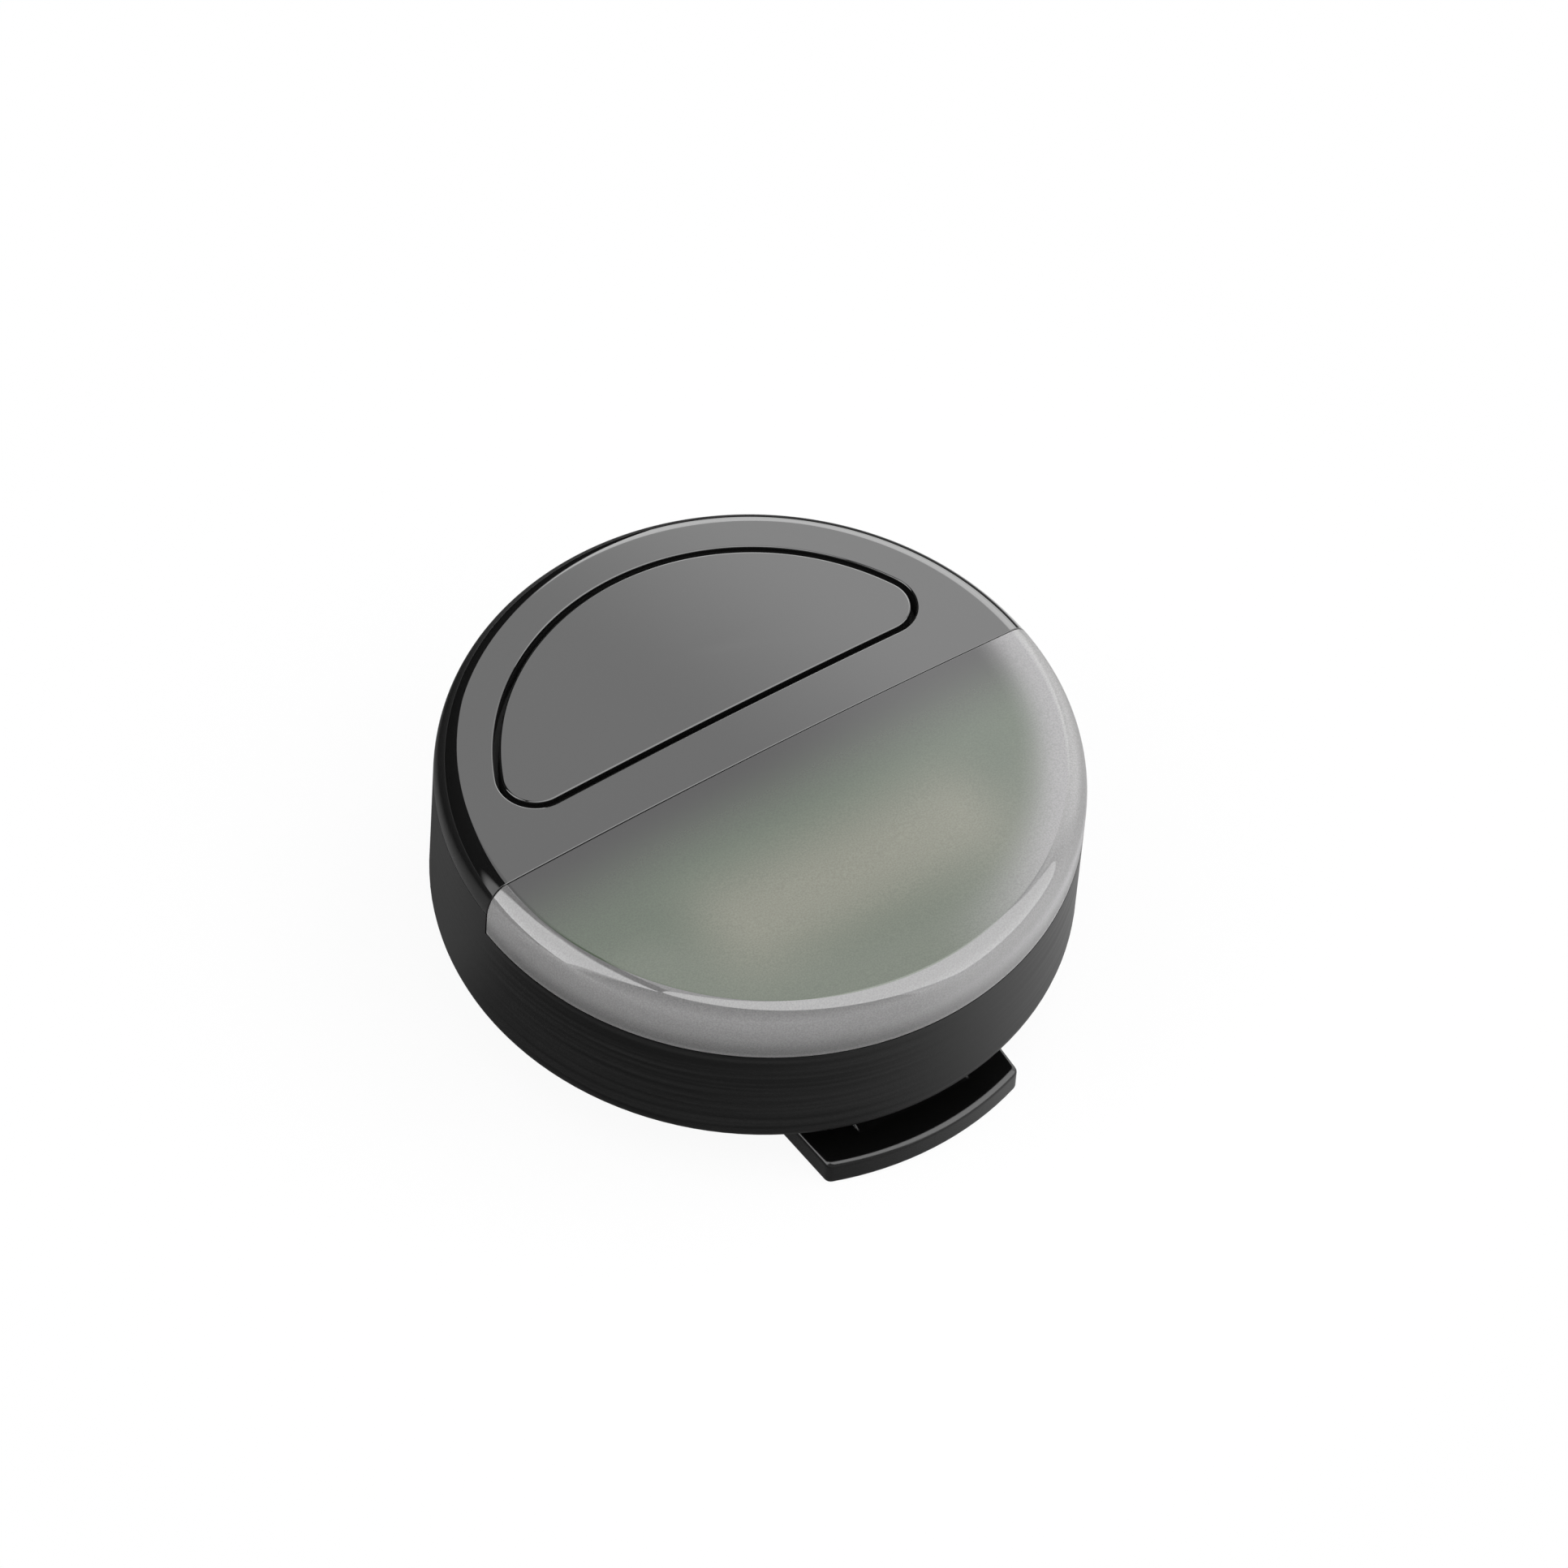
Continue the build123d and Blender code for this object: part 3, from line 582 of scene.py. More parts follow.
def piece(name, mesh, material, crease=CREASE):
    """Scene object of a mesh in millimetres, smooth but for creases."""
    bmesh.ops.recalc_face_normals(mesh, faces=mesh.faces[:])
    bmesh.ops.scale(mesh, vec=(MM, MM, MM), verts=mesh.verts[:])
    data = bpy.data.meshes.new(name)
    mesh.to_mesh(data)
    mesh.free()
    data.polygons.foreach_set("use_smooth", [True] * len(data.polygons))
    data.set_sharp_from_angle(angle=radians(crease))
    data.materials.append(material)
    made = bpy.data.objects.new(name, data)
    bpy.context.scene.collection.objects.link(made)
    return made


def groove_edge(wall, edge):
    """Loops of a rounded edge beside the groove, up from its wall. Edge is negative on the button's side."""
    loops = []
    for a in rounding_turns():
        drop = abs(edge) * (1 - sin(a))
        loops.append(moon_loop(wall + edge * (1 - cos(a)), lambda r, drop=drop: crown_z(r) - drop))
    return loops


def cover_mesh():
    """Shell of the black half of the face, round its D-shaped opening."""
    edge = shape().groove_edge / MM
    wall = GROOVE_W / 2
    loops = [moon_loop(wall, FACE_Z - COVER_T), *groove_edge(wall, edge)]
    near = moon_loop(wall + edge * PAST_EDGE, crown_z)
    rim = rim_profile(shape().round_steps, RIM_Z + COVER_RISE)
    far = cast(near, *rim[0])
    for share in COVER_ROWS:
        loops.append(between(near, far, share, crown_z))
    lower = rounded_corner(BODY_R, RIM_Z, shape().cover_edge / MM)
    for r, z in rim + lower:
        loops.append(cast(near, r, z))
    for r, z in ((LIP_OUT_R, RIM_Z), (LIP_OUT_R, LIP_Z), (LIP_IN_R, LIP_Z), (LIP_IN_R, FACE_Z - COVER_T)):
        loops.append(cast(near, r, z))
    mesh = skin(loops, closed=True)
    cut_half(mesh, COVER_Y, 1, shape().cover_edge / MM)
    return mesh


def lens_mesh():
    """Frosted half of the face with its skirt, lip and the tongue under the cover."""
    steps = shape().turn_steps
    low = FACE_Z - LENS_SKIRT
    top = FACE_Z - LENS_T
    rim = rim_profile(shape().round_steps, low + SKIRT_RISE)
    line = [(r, crown_z(r)) for r in (*LENS_ROWS, rim[0][0] - LENS_ROW_GAP)]
    line += rim
    line += [(wall_r(low + rise), low + rise) for rise in SKIRT_ROWS]
    line += rounded_corner(wall_r(low), low, shape().skirt_edge / MM)
    line += [(LIP_OUT_R, low), (LIP_OUT_R, LIP_Z), (LIP_IN_R, LIP_Z), (LIP_IN_R, top), (LENS_INNER_R, top)]
    rings = [circle(r, z, steps) for r, z in line]
    mesh = skin([[(0, 0, crown_z(0))], *rings, [(0, 0, top)]])
    cut_half(mesh, LENS_Y, -1, shape().lens_edge / MM)
    block(mesh, (-TONGUE_X, TONGUE_Y0, top - TONGUE_T), (TONGUE_X, TONGUE_Y1, top))
    return mesh


def button_mesh():
    """D-shaped push button: crowned face, flange, hollow underside and the post on the switch."""
    edge = shape().groove_edge / MM
    wall = -GROOVE_W / 2
    outline = moon_loop(wall - edge * PAST_EDGE, crown_z)
    middle = [MOON_MIDDLE] * len(outline)
    loops = [[(*MOON_MIDDLE, crown_z(MOON_MIDDLE[1]))]]
    for share in BUTTON_ROWS:
        loops.append(between(middle, outline, share, crown_z))
    loops += reversed(groove_edge(wall, -edge))
    flange = GROOVE_W / 2 + FLANGE_REACH
    flange_top = FACE_Z - COVER_T - FLANGE_GAP
    hollow = FACE_Z - BUTTON_TOP_T
    skirt = wall - BUTTON_SKIRT
    low = flange_top - FLANGE_T
    for grow, z in ((wall, flange_top), (flange, flange_top), (flange, low), (skirt, low), (skirt, hollow)):
        loops.append(moon_loop(grow, z))
    middle = Vector((*MOON_MIDDLE, 0))
    for z in (hollow, POST_Z):
        ring = [middle + (Vector((x, y, 0)) - middle).normalized() * POST_R for x, y, _ in outline]
        loops.append([(v.x, v.y, z) for v in ring])
    loops.append([(*MOON_MIDDLE, POST_Z)])
    return skin(loops)


def seal_rim_mesh():
    """Wall and outer edge of the seal's tray, which its frame holds against the cover."""
    top = SEAL_Z + SEAL_T
    out = SEAL_IN + SEAL_T
    under = ((SEAL_HOLD, SEAL_Z), (out, SEAL_Z), (out, SEAL_TOP_Z))
    over = ((SEAL_IN, SEAL_TOP_Z), (SEAL_IN, top), (SEAL_HOLD, top))
    return skin([moon_loop(grow, z) for grow, z in under + over], closed=True)


def seal_floor_mesh():
    """Middle of the seal's tray, between the button's post and the switch."""
    top = SEAL_Z + SEAL_T
    rings = [moon_loop(SEAL_HOLD - SEAL_SLIT, z) for z in (SEAL_Z, top)]
    return skin([[(*MOON_MIDDLE, SEAL_Z)], *rings, [(*MOON_MIDDLE, top)]])


def spring_line():
    """Points of the spring's wire: lower leg, coil and upper leg, with smooth bends."""
    pitch = 2 * COIL_HALF_L / COIL_TURNS
    steps = int(COIL_TURNS * COIL_STEPS)
    coil = []
    for k in range(steps + 1):
        turn = COIL_TURNS * k / steps
        a = 2 * pi * turn
        coil.append(Vector((-COIL_HALF_L + pitch * turn, PIN_Y - COIL_R * sin(a), PIN_Z - COIL_R * cos(a))))
    along = Vector((0, 1, 0))
    lower = [coil[0] + along * (LOWER_LEG * k / LOWER_STEPS) for k in range(LOWER_STEPS, 0, -1)]
    upper = [coil[-1] + along * (UPPER_LEG * k / UPPER_STEPS) for k in range(1, UPPER_STEPS + 1)]
    return lower + coil + upper


def tube(points, r):
    """Closed round wire along points, with slightly rounded ends."""
    turns = [2 * pi * k / WIRE_SIDES for k in range(WIRE_SIDES)]
    last = len(points) - 1
    across = (points[1] - points[0]).normalized().orthogonal().normalized()
    loops = []
    for k, point in enumerate(points):
        turned = (points[min(k + 1, last)] - points[max(k - 1, 0)]).normalized()
        across = (across - turned * across.dot(turned)).normalized()
        other = turned.cross(across)
        spokes = [(across * cos(a) + other * sin(a)) * r for a in turns]
        if 0 < k < last:
            loops.append([point + spoke for spoke in spokes])
            continue
        inward = turned if k == 0 else -turned
        full = [point + inward * (r * WIRE_END_T) + spoke for spoke in spokes]
        small = [point + spoke * WIRE_END_R for spoke in spokes]
        loops += [[point], small, full] if k == 0 else [full, small, [point]]
    return skin(loops)


# Finishes

# Where a tone changes on its piece, in millimetres: where the change starts, and where it is full.
# The gloss black has no clear skin on the left of the rim, as painted shade that makes it reflect less there,
# and is matt inside the groove.
LEFT_RIM_SHADE_R = (FACE_R, FACE_R + 0.24)
LEFT_RIM_SHADE_X = (-6, -14)
IN_GROOVE_Z = (FACE_Z - 0.05, FACE_Z - 0.3)
IN_GROOVE_R = (FACE_R - 0.66, FACE_R - 1.06)

# Light strip under the lens, with its tone by distance from its middle
GLOW_MIDDLE = (-0.25, -10.3)
GLOW_X = (13, 7.5)
GLOW_Y = (6.2, 0.3)

# Lens face: painted shade along the cover, a little more painted shade at the far left, and painted light
# near the front rim
COVER_SHADE_Y = (0.3, -6)
FAR_LEFT_X = (-7, -16)
FAR_LEFT_Y = (-10, -4)
FAR_LEFT_SHADE = 0.84
FRONT_RIM_LIGHT_R = (13.5, 17)
FRONT_RIM_LIGHT_Y = (-6, -10)
FRONT_RIM_LIGHT = 0.19
FRONT_RIM_LIGHT_TONE = (0.2, 0.2, 0.17)
COVER_SHADE = (0.008, 0.007, 0.008)

# Right side of the lens face: painted light that grows towards the rim, and by the rim a paler painted light
# where the skin's gloss is turned down
SIDE_LIGHT_R = (15.5, 18.7)
SIDE_LIGHT_X = (0, 11)
SIDE_LIGHT = 0.85
EDGE_LIGHT_R = (16.5, 18.6)
EDGE_LIGHT_X = (8, 15)
EDGE_LIGHT = 0.9
EDGE_LIGHT_TONE = (0.32, 0.315, 0.32)

# Rim and skirt of the lens: from the face outwards, painted light on the right, painted shade along most of
# the top with painted light at its right end, painted shade down the skirt, and a painted highlight line at
# its foot
EDGE_R = (FACE_R - 0.02, FACE_R + 0.02)
RIGHT_LIGHT_X = (-4, 15)
RIGHT_LIGHT_Z = (15.7, 14.8)
TOP_LIGHT_Z = (16.1, 16.8)
TOP_LIGHT_X = (8, 16)
TOP_LIGHT_GREYS = (0.72, 1.45)
SKIRT_SHADE_Z = (14.9, 13.3)
SKIRT_SHADE_GREYS = (1.04, 0.58)
FOOT_HIGHLIGHT_Z = (13.35, 13.05)
FOOT_HIGHLIGHT_TONE = (0.76, 0.76, 0.76)

# Part of a noise's range that carries its contrast, and the grain of the lens as shares of its tone
CONTRAST = (0.3, 0.7)
GRAIN_GREYS = (0.87, 1.13)

# Plain finishes: how far tone and roughness stray, grains to a cloud, and how strongly the grain shows
TONE_SPREAD = 0.12
ROUGH_SPREAD = 0.05
CLOUD_GRAINS = 8
GRAIN_STRENGTH = 0.4


class Value:
    """A number that varies over a surface. Sums on it are written as plain expressions."""

    def __init__(self, tree, socket):
        self.tree = tree
        self.socket = socket

    def maths(self, operation, *values):
        """Result of a Math node."""
        return self.tree.add("ShaderNodeMath", {"operation": operation}, dict(enumerate(values)))

    def __add__(self, other):
        return self.maths("ADD", self, other)

    def __sub__(self, other):
        return self.maths("SUBTRACT", self, other)

    def __mul__(self, other):
        return self.maths("MULTIPLY", self, other)

    def __truediv__(self, other):
        return self.maths("DIVIDE", self, other)

    def __pow__(self, other):
        return self.maths("POWER", self, other)

    def __radd__(self, other):
        return self.maths("ADD", other, self)

    def __rsub__(self, other):
        return self.maths("SUBTRACT", other, self)

    def __rmul__(self, other):
        return self.maths("MULTIPLY", other, self)

    def __rtruediv__(self, other):
        return self.maths("DIVIDE", other, self)

    def __abs__(self):
        return self.maths("ABSOLUTE", self)

    def ramp(self, low, high, smooth=True):
        """0 below low and 1 above high, or the other way round where low is the higher."""
        kind = "SMOOTHSTEP" if smooth else "LINEAR"
        inputs = {"Value": self, "From Min": low, "From Max": high}
        if low > high:
            inputs.update({"From Min": high, "From Max": low, "To Min": 1, "To Max": 0})
        return self.tree.add("ShaderNodeMapRange", {"interpolation_type": kind}, inputs)

    def span(self, low, high):
        """The number between low and high that this share stands for."""
        return self * (high - low) + low

    def least(self, other):
        """The lower of two values."""
        return self.maths("MINIMUM", self, other)

    def most(self, other):
        """The higher of two values."""
        return self.maths("MAXIMUM", self, other)


class Tree:
    """Node tree of one finish, to which every node is added in one way."""

    def __init__(self, owner):
        """Start a material of that name, or clear the tree of a world."""
        self.material = bpy.data.materials.new(owner) if isinstance(owner, str) else owner
        self.material.use_nodes = True
        self.nodes = self.material.node_tree.nodes
        self.links = self.material.node_tree.links
        self.nodes.clear()

    def add(self, kind, settings=None, inputs=None, output=0):
        """Add a node: its settings first, then the values or links of its sockets."""
        node = self.nodes.new(kind)
        for key, value in (settings or {}).items():
            setattr(node, key, value)
        for key, value in (inputs or {}).items():
            if isinstance(value, Value):
                self.links.new(value.socket, node.inputs[key])
            else:
                node.inputs[key].default_value = value
        return Value(self, node.outputs[output]) if node.outputs else None

    def place(self):
        """Place on the piece in millimetres, as X, Y and Z."""
        metres = self.add("ShaderNodeTexCoord", output="Object")
        where = self.add("ShaderNodeVectorMath", {"operation": "SCALE"}, {0: metres, "Scale": 1 / MM})
        apart = self.add("ShaderNodeSeparateXYZ", {}, {0: where})
        return where, [Value(self, axis) for axis in apart.socket.node.outputs]

    def noise(self, where, scale, detail=2):
        """Noise from 0 to 1 with about scale grains to the millimetre."""
        return self.add("ShaderNodeTexNoise", {}, {"Vector": where, "Scale": scale, "Detail": detail})

    def mix(self, share, a, b, way="MIX"):
        """Colour between two colours."""
        inputs = {0: share, 6: colour(a), 7: colour(b)}
        return self.add("ShaderNodeMix", {"data_type": "RGBA", "blend_type": way}, inputs, output=2)

    def bump(self, height, depth, strength):
        """Normal of a surface that is raised by depth millimetres where height is 1."""
        inputs = {"Height": height, "Distance": depth * MM, "Strength": strength}
        return self.add("ShaderNodeBump", {}, inputs)

    def glow(self, radiance, tone=(1, 1, 1, 1)):
        """Emission of a tone, where a radiance of 1 is white."""
        return self.add("ShaderNodeEmission", {}, {"Color": tone, "Strength": radiance})

    def grey(self, share, low, high):
        """Grey between two greys."""
        return self.mix(share, (low, low, low), (high, high, high))

    def surface(self, **sockets):
        """Finish the tree with a Principled shader."""
        names = {key.replace("_", " "): value for key, value in sockets.items()}
        shader = self.add("ShaderNodeBsdfPrincipled", {}, {k: colour(v) for k, v in names.items()})
        return self.show(shader)

    def show(self, shader):
        """Send a shader to the material's surface."""
        self.add("ShaderNodeOutputMaterial", {}, {"Surface": shader})
        return self.material


def colour(value):
    """Colour with its fourth channel, and anything else as it is."""
    if isinstance(value, (Value, int, float)) or len(value) == 4:
        return value
    return (*value, 1)


def scaled(tone, share):
    """Colour made darker or lighter by a share."""
    return [min(c * share, 1) for c in tone]


def from_axis(x, y):
    """Distance from the light's upright axis."""
    return (x * x + y * y) ** 0.5


def gloss_finish():
    """Polished black moulding under a clear skin, with a trace of haze, matt inside the groove, and without
    the skin on the left of the rim as painted shade.
    """
    tree = Tree("gloss_black")
    where, (x, y, z) = tree.place()
    r = from_axis(x, y)
    haze = tree.noise(where, 0.35, 3).ramp(*CONTRAST)
    # Painted shade: the clear skin is left off the left of the rim, so it reflects less there
    left_rim_shade = r.ramp(*LEFT_RIM_SHADE_R) * x.ramp(*LEFT_RIM_SHADE_X)
    groove = z.ramp(*IN_GROOVE_Z) * r.ramp(*IN_GROOVE_R)
    return tree.surface(
        Base_Color=finish().gloss_black,
        Roughness=haze.span(0.03, 0.05) + groove * 0.6,
        IOR=1.5,
        Coat_Weight=(1 - left_rim_shade) * (1 - groove),
        Coat_Roughness=0.03,
        Coat_IOR=1.7,
    )


def clip_finish():
    """Polished black of the clip, deeper than the cover's, with soft edges."""
    tree = Tree("clip_black")
    where, _ = tree.place()
    haze = tree.noise(where, 0.5, 3).ramp(*CONTRAST)
    return tree.surface(
        Base_Color=scaled(finish().gloss_black, 0.5),
        Roughness=haze.span(0.05, 0.08),
        IOR=1.65,
        Normal=tree.add("ShaderNodeBevel", {"samples": 8}, {"Radius": 0.25 * MM}),
    )


def satin_finish():
    """Fine spark-eroded black of the housing, with faint streaks round the wall."""
    tree = Tree("satin_black")
    where, _ = tree.place()
    drawn = tree.add("ShaderNodeVectorMath", {"operation": "MULTIPLY"}, {0: where, 1: (0.05, 0.05, 2.5)})
    streaks = tree.noise(drawn, 1, 3).ramp(*CONTRAST)
    grain = tree.noise(where, 9)
    black = finish().satin_black
    return tree.surface(
        Base_Color=tree.mix(streaks, scaled(black, 0.4), scaled(black, 1.9)),
        Roughness=streaks.span(0.36, 0.42),
        Specular_IOR_Level=0.35,
        Normal=tree.bump(grain, 0.01, 0.35),
    )


def lens_face_tone(tree, x, y, r):
    """Tone of the lens's face: dark, faintly green depth, the strip seen softly through it, painted shade
    along the cover and at the far left, and painted light near the front rim and on the right side.
    """
    glow_x, glow_y = GLOW_MIDDLE
    strip = abs(x - glow_x).ramp(*GLOW_X) * abs(y - glow_y).ramp(*GLOW_Y)
    # Painted shade at the far left of the face
    far_left = x.ramp(*FAR_LEFT_X) * y.ramp(*FAR_LEFT_Y)
    shade = tree.mix(far_left, finish().lens_shade, scaled(finish().lens_shade, FAR_LEFT_SHADE))
    # Painted light near the front rim
    front_rim_lit = tree.mix(r.ramp(*FRONT_RIM_LIGHT_R) * y.ramp(*FRONT_RIM_LIGHT_Y) * FRONT_RIM_LIGHT, shade, FRONT_RIM_LIGHT_TONE)
    # Painted shade along the cover
    depth = tree.mix(y.ramp(*COVER_SHADE_Y), COVER_SHADE, front_rim_lit)
    lit = tree.mix(strip, depth, finish().lens_glow)
    # Painted light on the right side of the face, growing towards the rim
    return tree.mix(r.ramp(*SIDE_LIGHT_R) * x.ramp(*SIDE_LIGHT_X) * SIDE_LIGHT, lit, finish().lens_side_light)


def lens_rim_tone(tree, x, z):
    """Tone of the lens's thick edge: painted light on its right, painted shade along most of its top with
    painted light at the top's right end, painted shade down the skirt and a painted highlight line at its
    foot.
    """
    # Painted light on the right side of the rim
    rim = tree.mix(x.ramp(*RIGHT_LIGHT_X) * z.ramp(*RIGHT_LIGHT_Z), finish().lens_rim, finish().lens_right_light)
    # Painted shade down the skirt, and a painted highlight line at its foot
    skirt = tree.mix(z.ramp(*FOOT_HIGHLIGHT_Z), tree.grey(z.ramp(*SKIRT_SHADE_Z), *SKIRT_SHADE_GREYS), FOOT_HIGHLIGHT_TONE)
    # Painted shade along most of the rim's top, and painted light at its right end
    light = tree.mix(z.ramp(*TOP_LIGHT_Z), skirt, tree.grey(x.ramp(*TOP_LIGHT_X), *TOP_LIGHT_GREYS))
    return tree.mix(1.0, rim, light, "MULTIPLY")


def lens_finish():
    """Frosted lens: a glossy skin over a dark, faintly green depth, with a fine grain and painted light and
    shade, its gloss turned down under a paler painted light on the right by the rim.
    """
    tree = Tree("frosted")
    where, (x, y, z) = tree.place()
    r = from_axis(x, y)
    cloud = tree.noise(where, 0.12)
    # Painted light on the right by the rim, where the skin's gloss is turned down
    edge_light = x.ramp(*EDGE_LIGHT_X) * r.ramp(*EDGE_LIGHT_R)
    edge = r.ramp(*EDGE_R)
    face = tree.mix(edge_light * EDGE_LIGHT, lens_face_tone(tree, x, y, r), EDGE_LIGHT_TONE)
    body = tree.mix(edge, face, lens_rim_tone(tree, x, z))
    grain = tree.grey(tree.noise(where, 10, 1).ramp(*CONTRAST, False), *GRAIN_GREYS)
    return tree.surface(
        Base_Color=tree.mix(1.0, body, grain, "MULTIPLY"),
        Roughness=cloud.span(0.4, 0.44),
        Specular_IOR_Level=0.0,
        Coat_Weight=edge.span(0.8, 1) * edge_light.span(1, 0.4),
        Coat_Roughness=0.006,
        Coat_IOR=2.0,
    )


def plain_finish(name, base, rough, grain_scale, grain_depth, metallic):
    """Moulded, stamped or printed stuff with grain at its own scale, and a slower change of tone."""
    tree = Tree(name)
    where, _ = tree.place()
    grain = tree.noise(where, grain_scale, 3)
    cloud = tree.noise(where, grain_scale / CLOUD_GRAINS)
    return tree.surface(
        Base_Color=tree.mix(cloud, scaled(base, 1 - TONE_SPREAD), scaled(base, 1 + TONE_SPREAD)),
        Roughness=grain.span(rough - ROUGH_SPREAD, rough + ROUGH_SPREAD),
        Metallic=metallic,
        Normal=tree.bump(grain, grain_depth, GRAIN_STRENGTH),
    )


# Finish of each other slot: colour, roughness, grains to the millimetre, their depth and metal
PLAIN = {
    "silicone": ((0.08, 0.08, 0.085), 0.6, 6, 0.01, 0.0),
    "inner_plastic": ((0.03, 0.03, 0.03), 0.5, 5, 0.01, 0.0),
    "board_green": ((0.02, 0.12, 0.06), 0.35, 8, 0.005, 0.0),
    "steel": ((0.55, 0.55, 0.56), 0.3, 8, 0.004, 1.0),
    "chip_black": ((0.02, 0.02, 0.022), 0.55, 12, 0.01, 0.0),
    "chip_grey": ((0.12, 0.12, 0.125), 0.6, 10, 0.01, 0.0),
    "rubber_black": ((0.02, 0.02, 0.021), 0.5, 8, 0.008, 0.0),
    "cell_foil": ((0.62, 0.63, 0.65), 0.35, 2, 0.03, 0.9),
    "foam": ((0.05, 0.05, 0.05), 0.85, 4, 0.1, 0.0),
    "lead_red": ((0.45, 0.03, 0.03), 0.45, 6, 0.01, 0.0),
    "white_plastic": ((0.8, 0.8, 0.78), 0.5, 5, 0.005, 0.0),
    "board_white": ((0.82, 0.82, 0.8), 0.4, 5, 0.005, 0.0),
    "phosphor": ((0.75, 0.62, 0.16), 0.5, 7, 0.02, 0.0),
    "contact_brass": ((0.78, 0.6, 0.25), 0.25, 8, 0.003, 1.0),
    "spring_steel": ((0.45, 0.45, 0.46), 0.28, 10, 0.004, 1.0),
}


def finishes():
    """Every finish by the name of its slot, made once."""
    made = bpy.data.materials
    if "gloss_black" not in made or not made["gloss_black"].get("ready"):
        # The frame's own materials hold the slots' names, which the finishes take over.
        for material in list(made):
            material.name = "frame_" + material.name
        for maker in (gloss_finish, clip_finish, satin_finish, lens_finish):
            maker()["ready"] = True
        for name, values in PLAIN.items():
            plain_finish(name, *values)["ready"] = True
    return made


def dress(made, node, body):
    """Let a piece stand for a node of the frame."""
    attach(made, body)
    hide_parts(node)


class LIGHT_OT_cover(bpy.types.Operator):
    """Build the black half of the face"""

    bl_idname = "clip_light.cover"
    bl_label = "Front cover"

    def execute(self, context):
        made = piece("front_cover_shell", cover_mesh(), finishes()["gloss_black"])
        dress(made, "front_cover", "body")
        return {"FINISHED"}


class LIGHT_OT_lens(bpy.types.Operator):
    """Build the frosted half of the face"""

    bl_idname = "clip_light.lens"
    bl_label = "Lens"

    def execute(self, context):
        made = piece("lens_shell", lens_mesh(), finishes()["frosted"])
        dress(made, "lens", "body")
        return {"FINISHED"}


class LIGHT_OT_button(bpy.types.Operator):
    """Build the push button"""

    bl_idname = "clip_light.button"
    bl_label = "Push button"

    def execute(self, context):
        made = piece("button_shell", button_mesh(), finishes()["gloss_black"])
        dress(made, "button_cap", "button")
        return {"FINISHED"}


class LIGHT_OT_seal(bpy.types.Operator):
    """Build the button's seal, whose floor goes down with the button"""

    bl_idname = "clip_light.seal"
    bl_label = "Button seal"

    def execute(self, context):
        rim = piece("seal_rim", seal_rim_mesh(), finishes()["silicone"])
        dress(rim, "button_seal", "body")
        floor = piece("seal_floor", seal_floor_mesh(), finishes()["silicone"])
        dress(floor, "button_seal", "button")
        return {"FINISHED"}


class LIGHT_OT_spring(bpy.types.Operator):
    """Build the clip's spring in place of the frame's"""

    bl_idname = "clip_light.spring"
    bl_label = "Clip spring"

    def execute(self, context):
        made = piece("spring_wire", tube(spring_line(), WIRE_R), finishes()["spring_steel"], WIRE_CREASE)
        top = (0, PIN_Y * MM, (PIN_Z + COIL_R) * MM)
        bottom = (0, PIN_Y * MM, (PIN_Z - COIL_R) * MM)
        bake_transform(made)
        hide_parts("clip_spring")
        return {"FINISHED"}


class LIGHT_OT_frame_finishes(bpy.types.Operator):
    """Give every piece that stays from the frame its finish, with a deeper black for the clip"""

    bl_idname = "clip_light.frame_finishes"
    bl_label = "Finishes of the frame's pieces"

    def execute(self, context):
        slots = {row["node"]: row["material_slot"] for row in frame["record"]["subparts"]}
        for name, node in frame["nodes"].items():
            material = finishes()["clip_black" if name.startswith("clip_") else slots[name]]
            for place in node.material_slots:
                place.material = material
        return {"FINISHED"}


def camera_axes():
    """Right, down and forward of the view, in the frame's axes."""
    stage = studio()
    turn = Matrix.Rotation(-stage.heading, 3, "Z")
    right = Vector((1, 0, 0))
    up = Vector((0, sin(stage.pitch), cos(stage.pitch)))
    forward = Vector((0, cos(stage.pitch), -sin(stage.pitch)))
    tilted = cos(stage.roll) * right + sin(stage.roll) * up
    down = sin(stage.roll) * right - cos(stage.roll) * up
    return turn @ tilted, turn @ down, turn @ forward


def add_camera():
    """Camera that looks down on the light from its front left."""
    stage = studio()
    right, down, forward = camera_axes()
    target = Vector((0, 0, FACE_Z * MM))
    place = target - forward * stage.distance + right * stage.shift_right + down * stage.shift_down
    data = bpy.data.cameras.new("main_view")
    data.sensor_width = SENSOR_W
    data.lens = FOCAL_L
    data.clip_end = SIGHT
    made = bpy.data.objects.new("main_view", data)
    made.matrix_world = Matrix.Translation(place) @ Matrix((right, -down, -forward)).transposed().to_4x4()
    bpy.context.scene.collection.objects.link(made)
    bpy.context.scene.camera = made


def toward(heading, height):
    """Direction from the light at a heading round Z from -Y to +X and a height, both in degrees."""
    a, e = radians(heading), radians(height)
    return Vector((sin(a) * cos(e), -cos(a) * cos(e), sin(e)))


def add_flat(name, points, material, rounding=0.0):
    """Flat lamp or flag through points in metres, kept out of the picture but not out of reflections."""
    mesh = bmesh.new()
    verts = [mesh.verts.new(point / MM) for point in points]
    mesh.faces.new(verts)
    if rounding:
        bmesh.ops.bevel(
            mesh, geom=verts, offset=rounding / MM, segments=ROUND_STEPS, affect="VERTICES", profile=0.5
        )
    made = piece(name, mesh, material)
    made.visible_camera = False
    return made


def facing(corners, far):
    """Corners of a panel that faces the light from far metres away, from their headings and heights."""
    rays = [toward(*corner) for corner in corners]
    middle = sum(rays, Vector()).normalized()
    return [ray * (far / ray.dot(middle)) for ray in rays]


def level(outline, height):
    """Corners of a level panel at a height in metres, from shares of that height."""
    return [Vector((x, y, 1)) * height for x, y in outline]


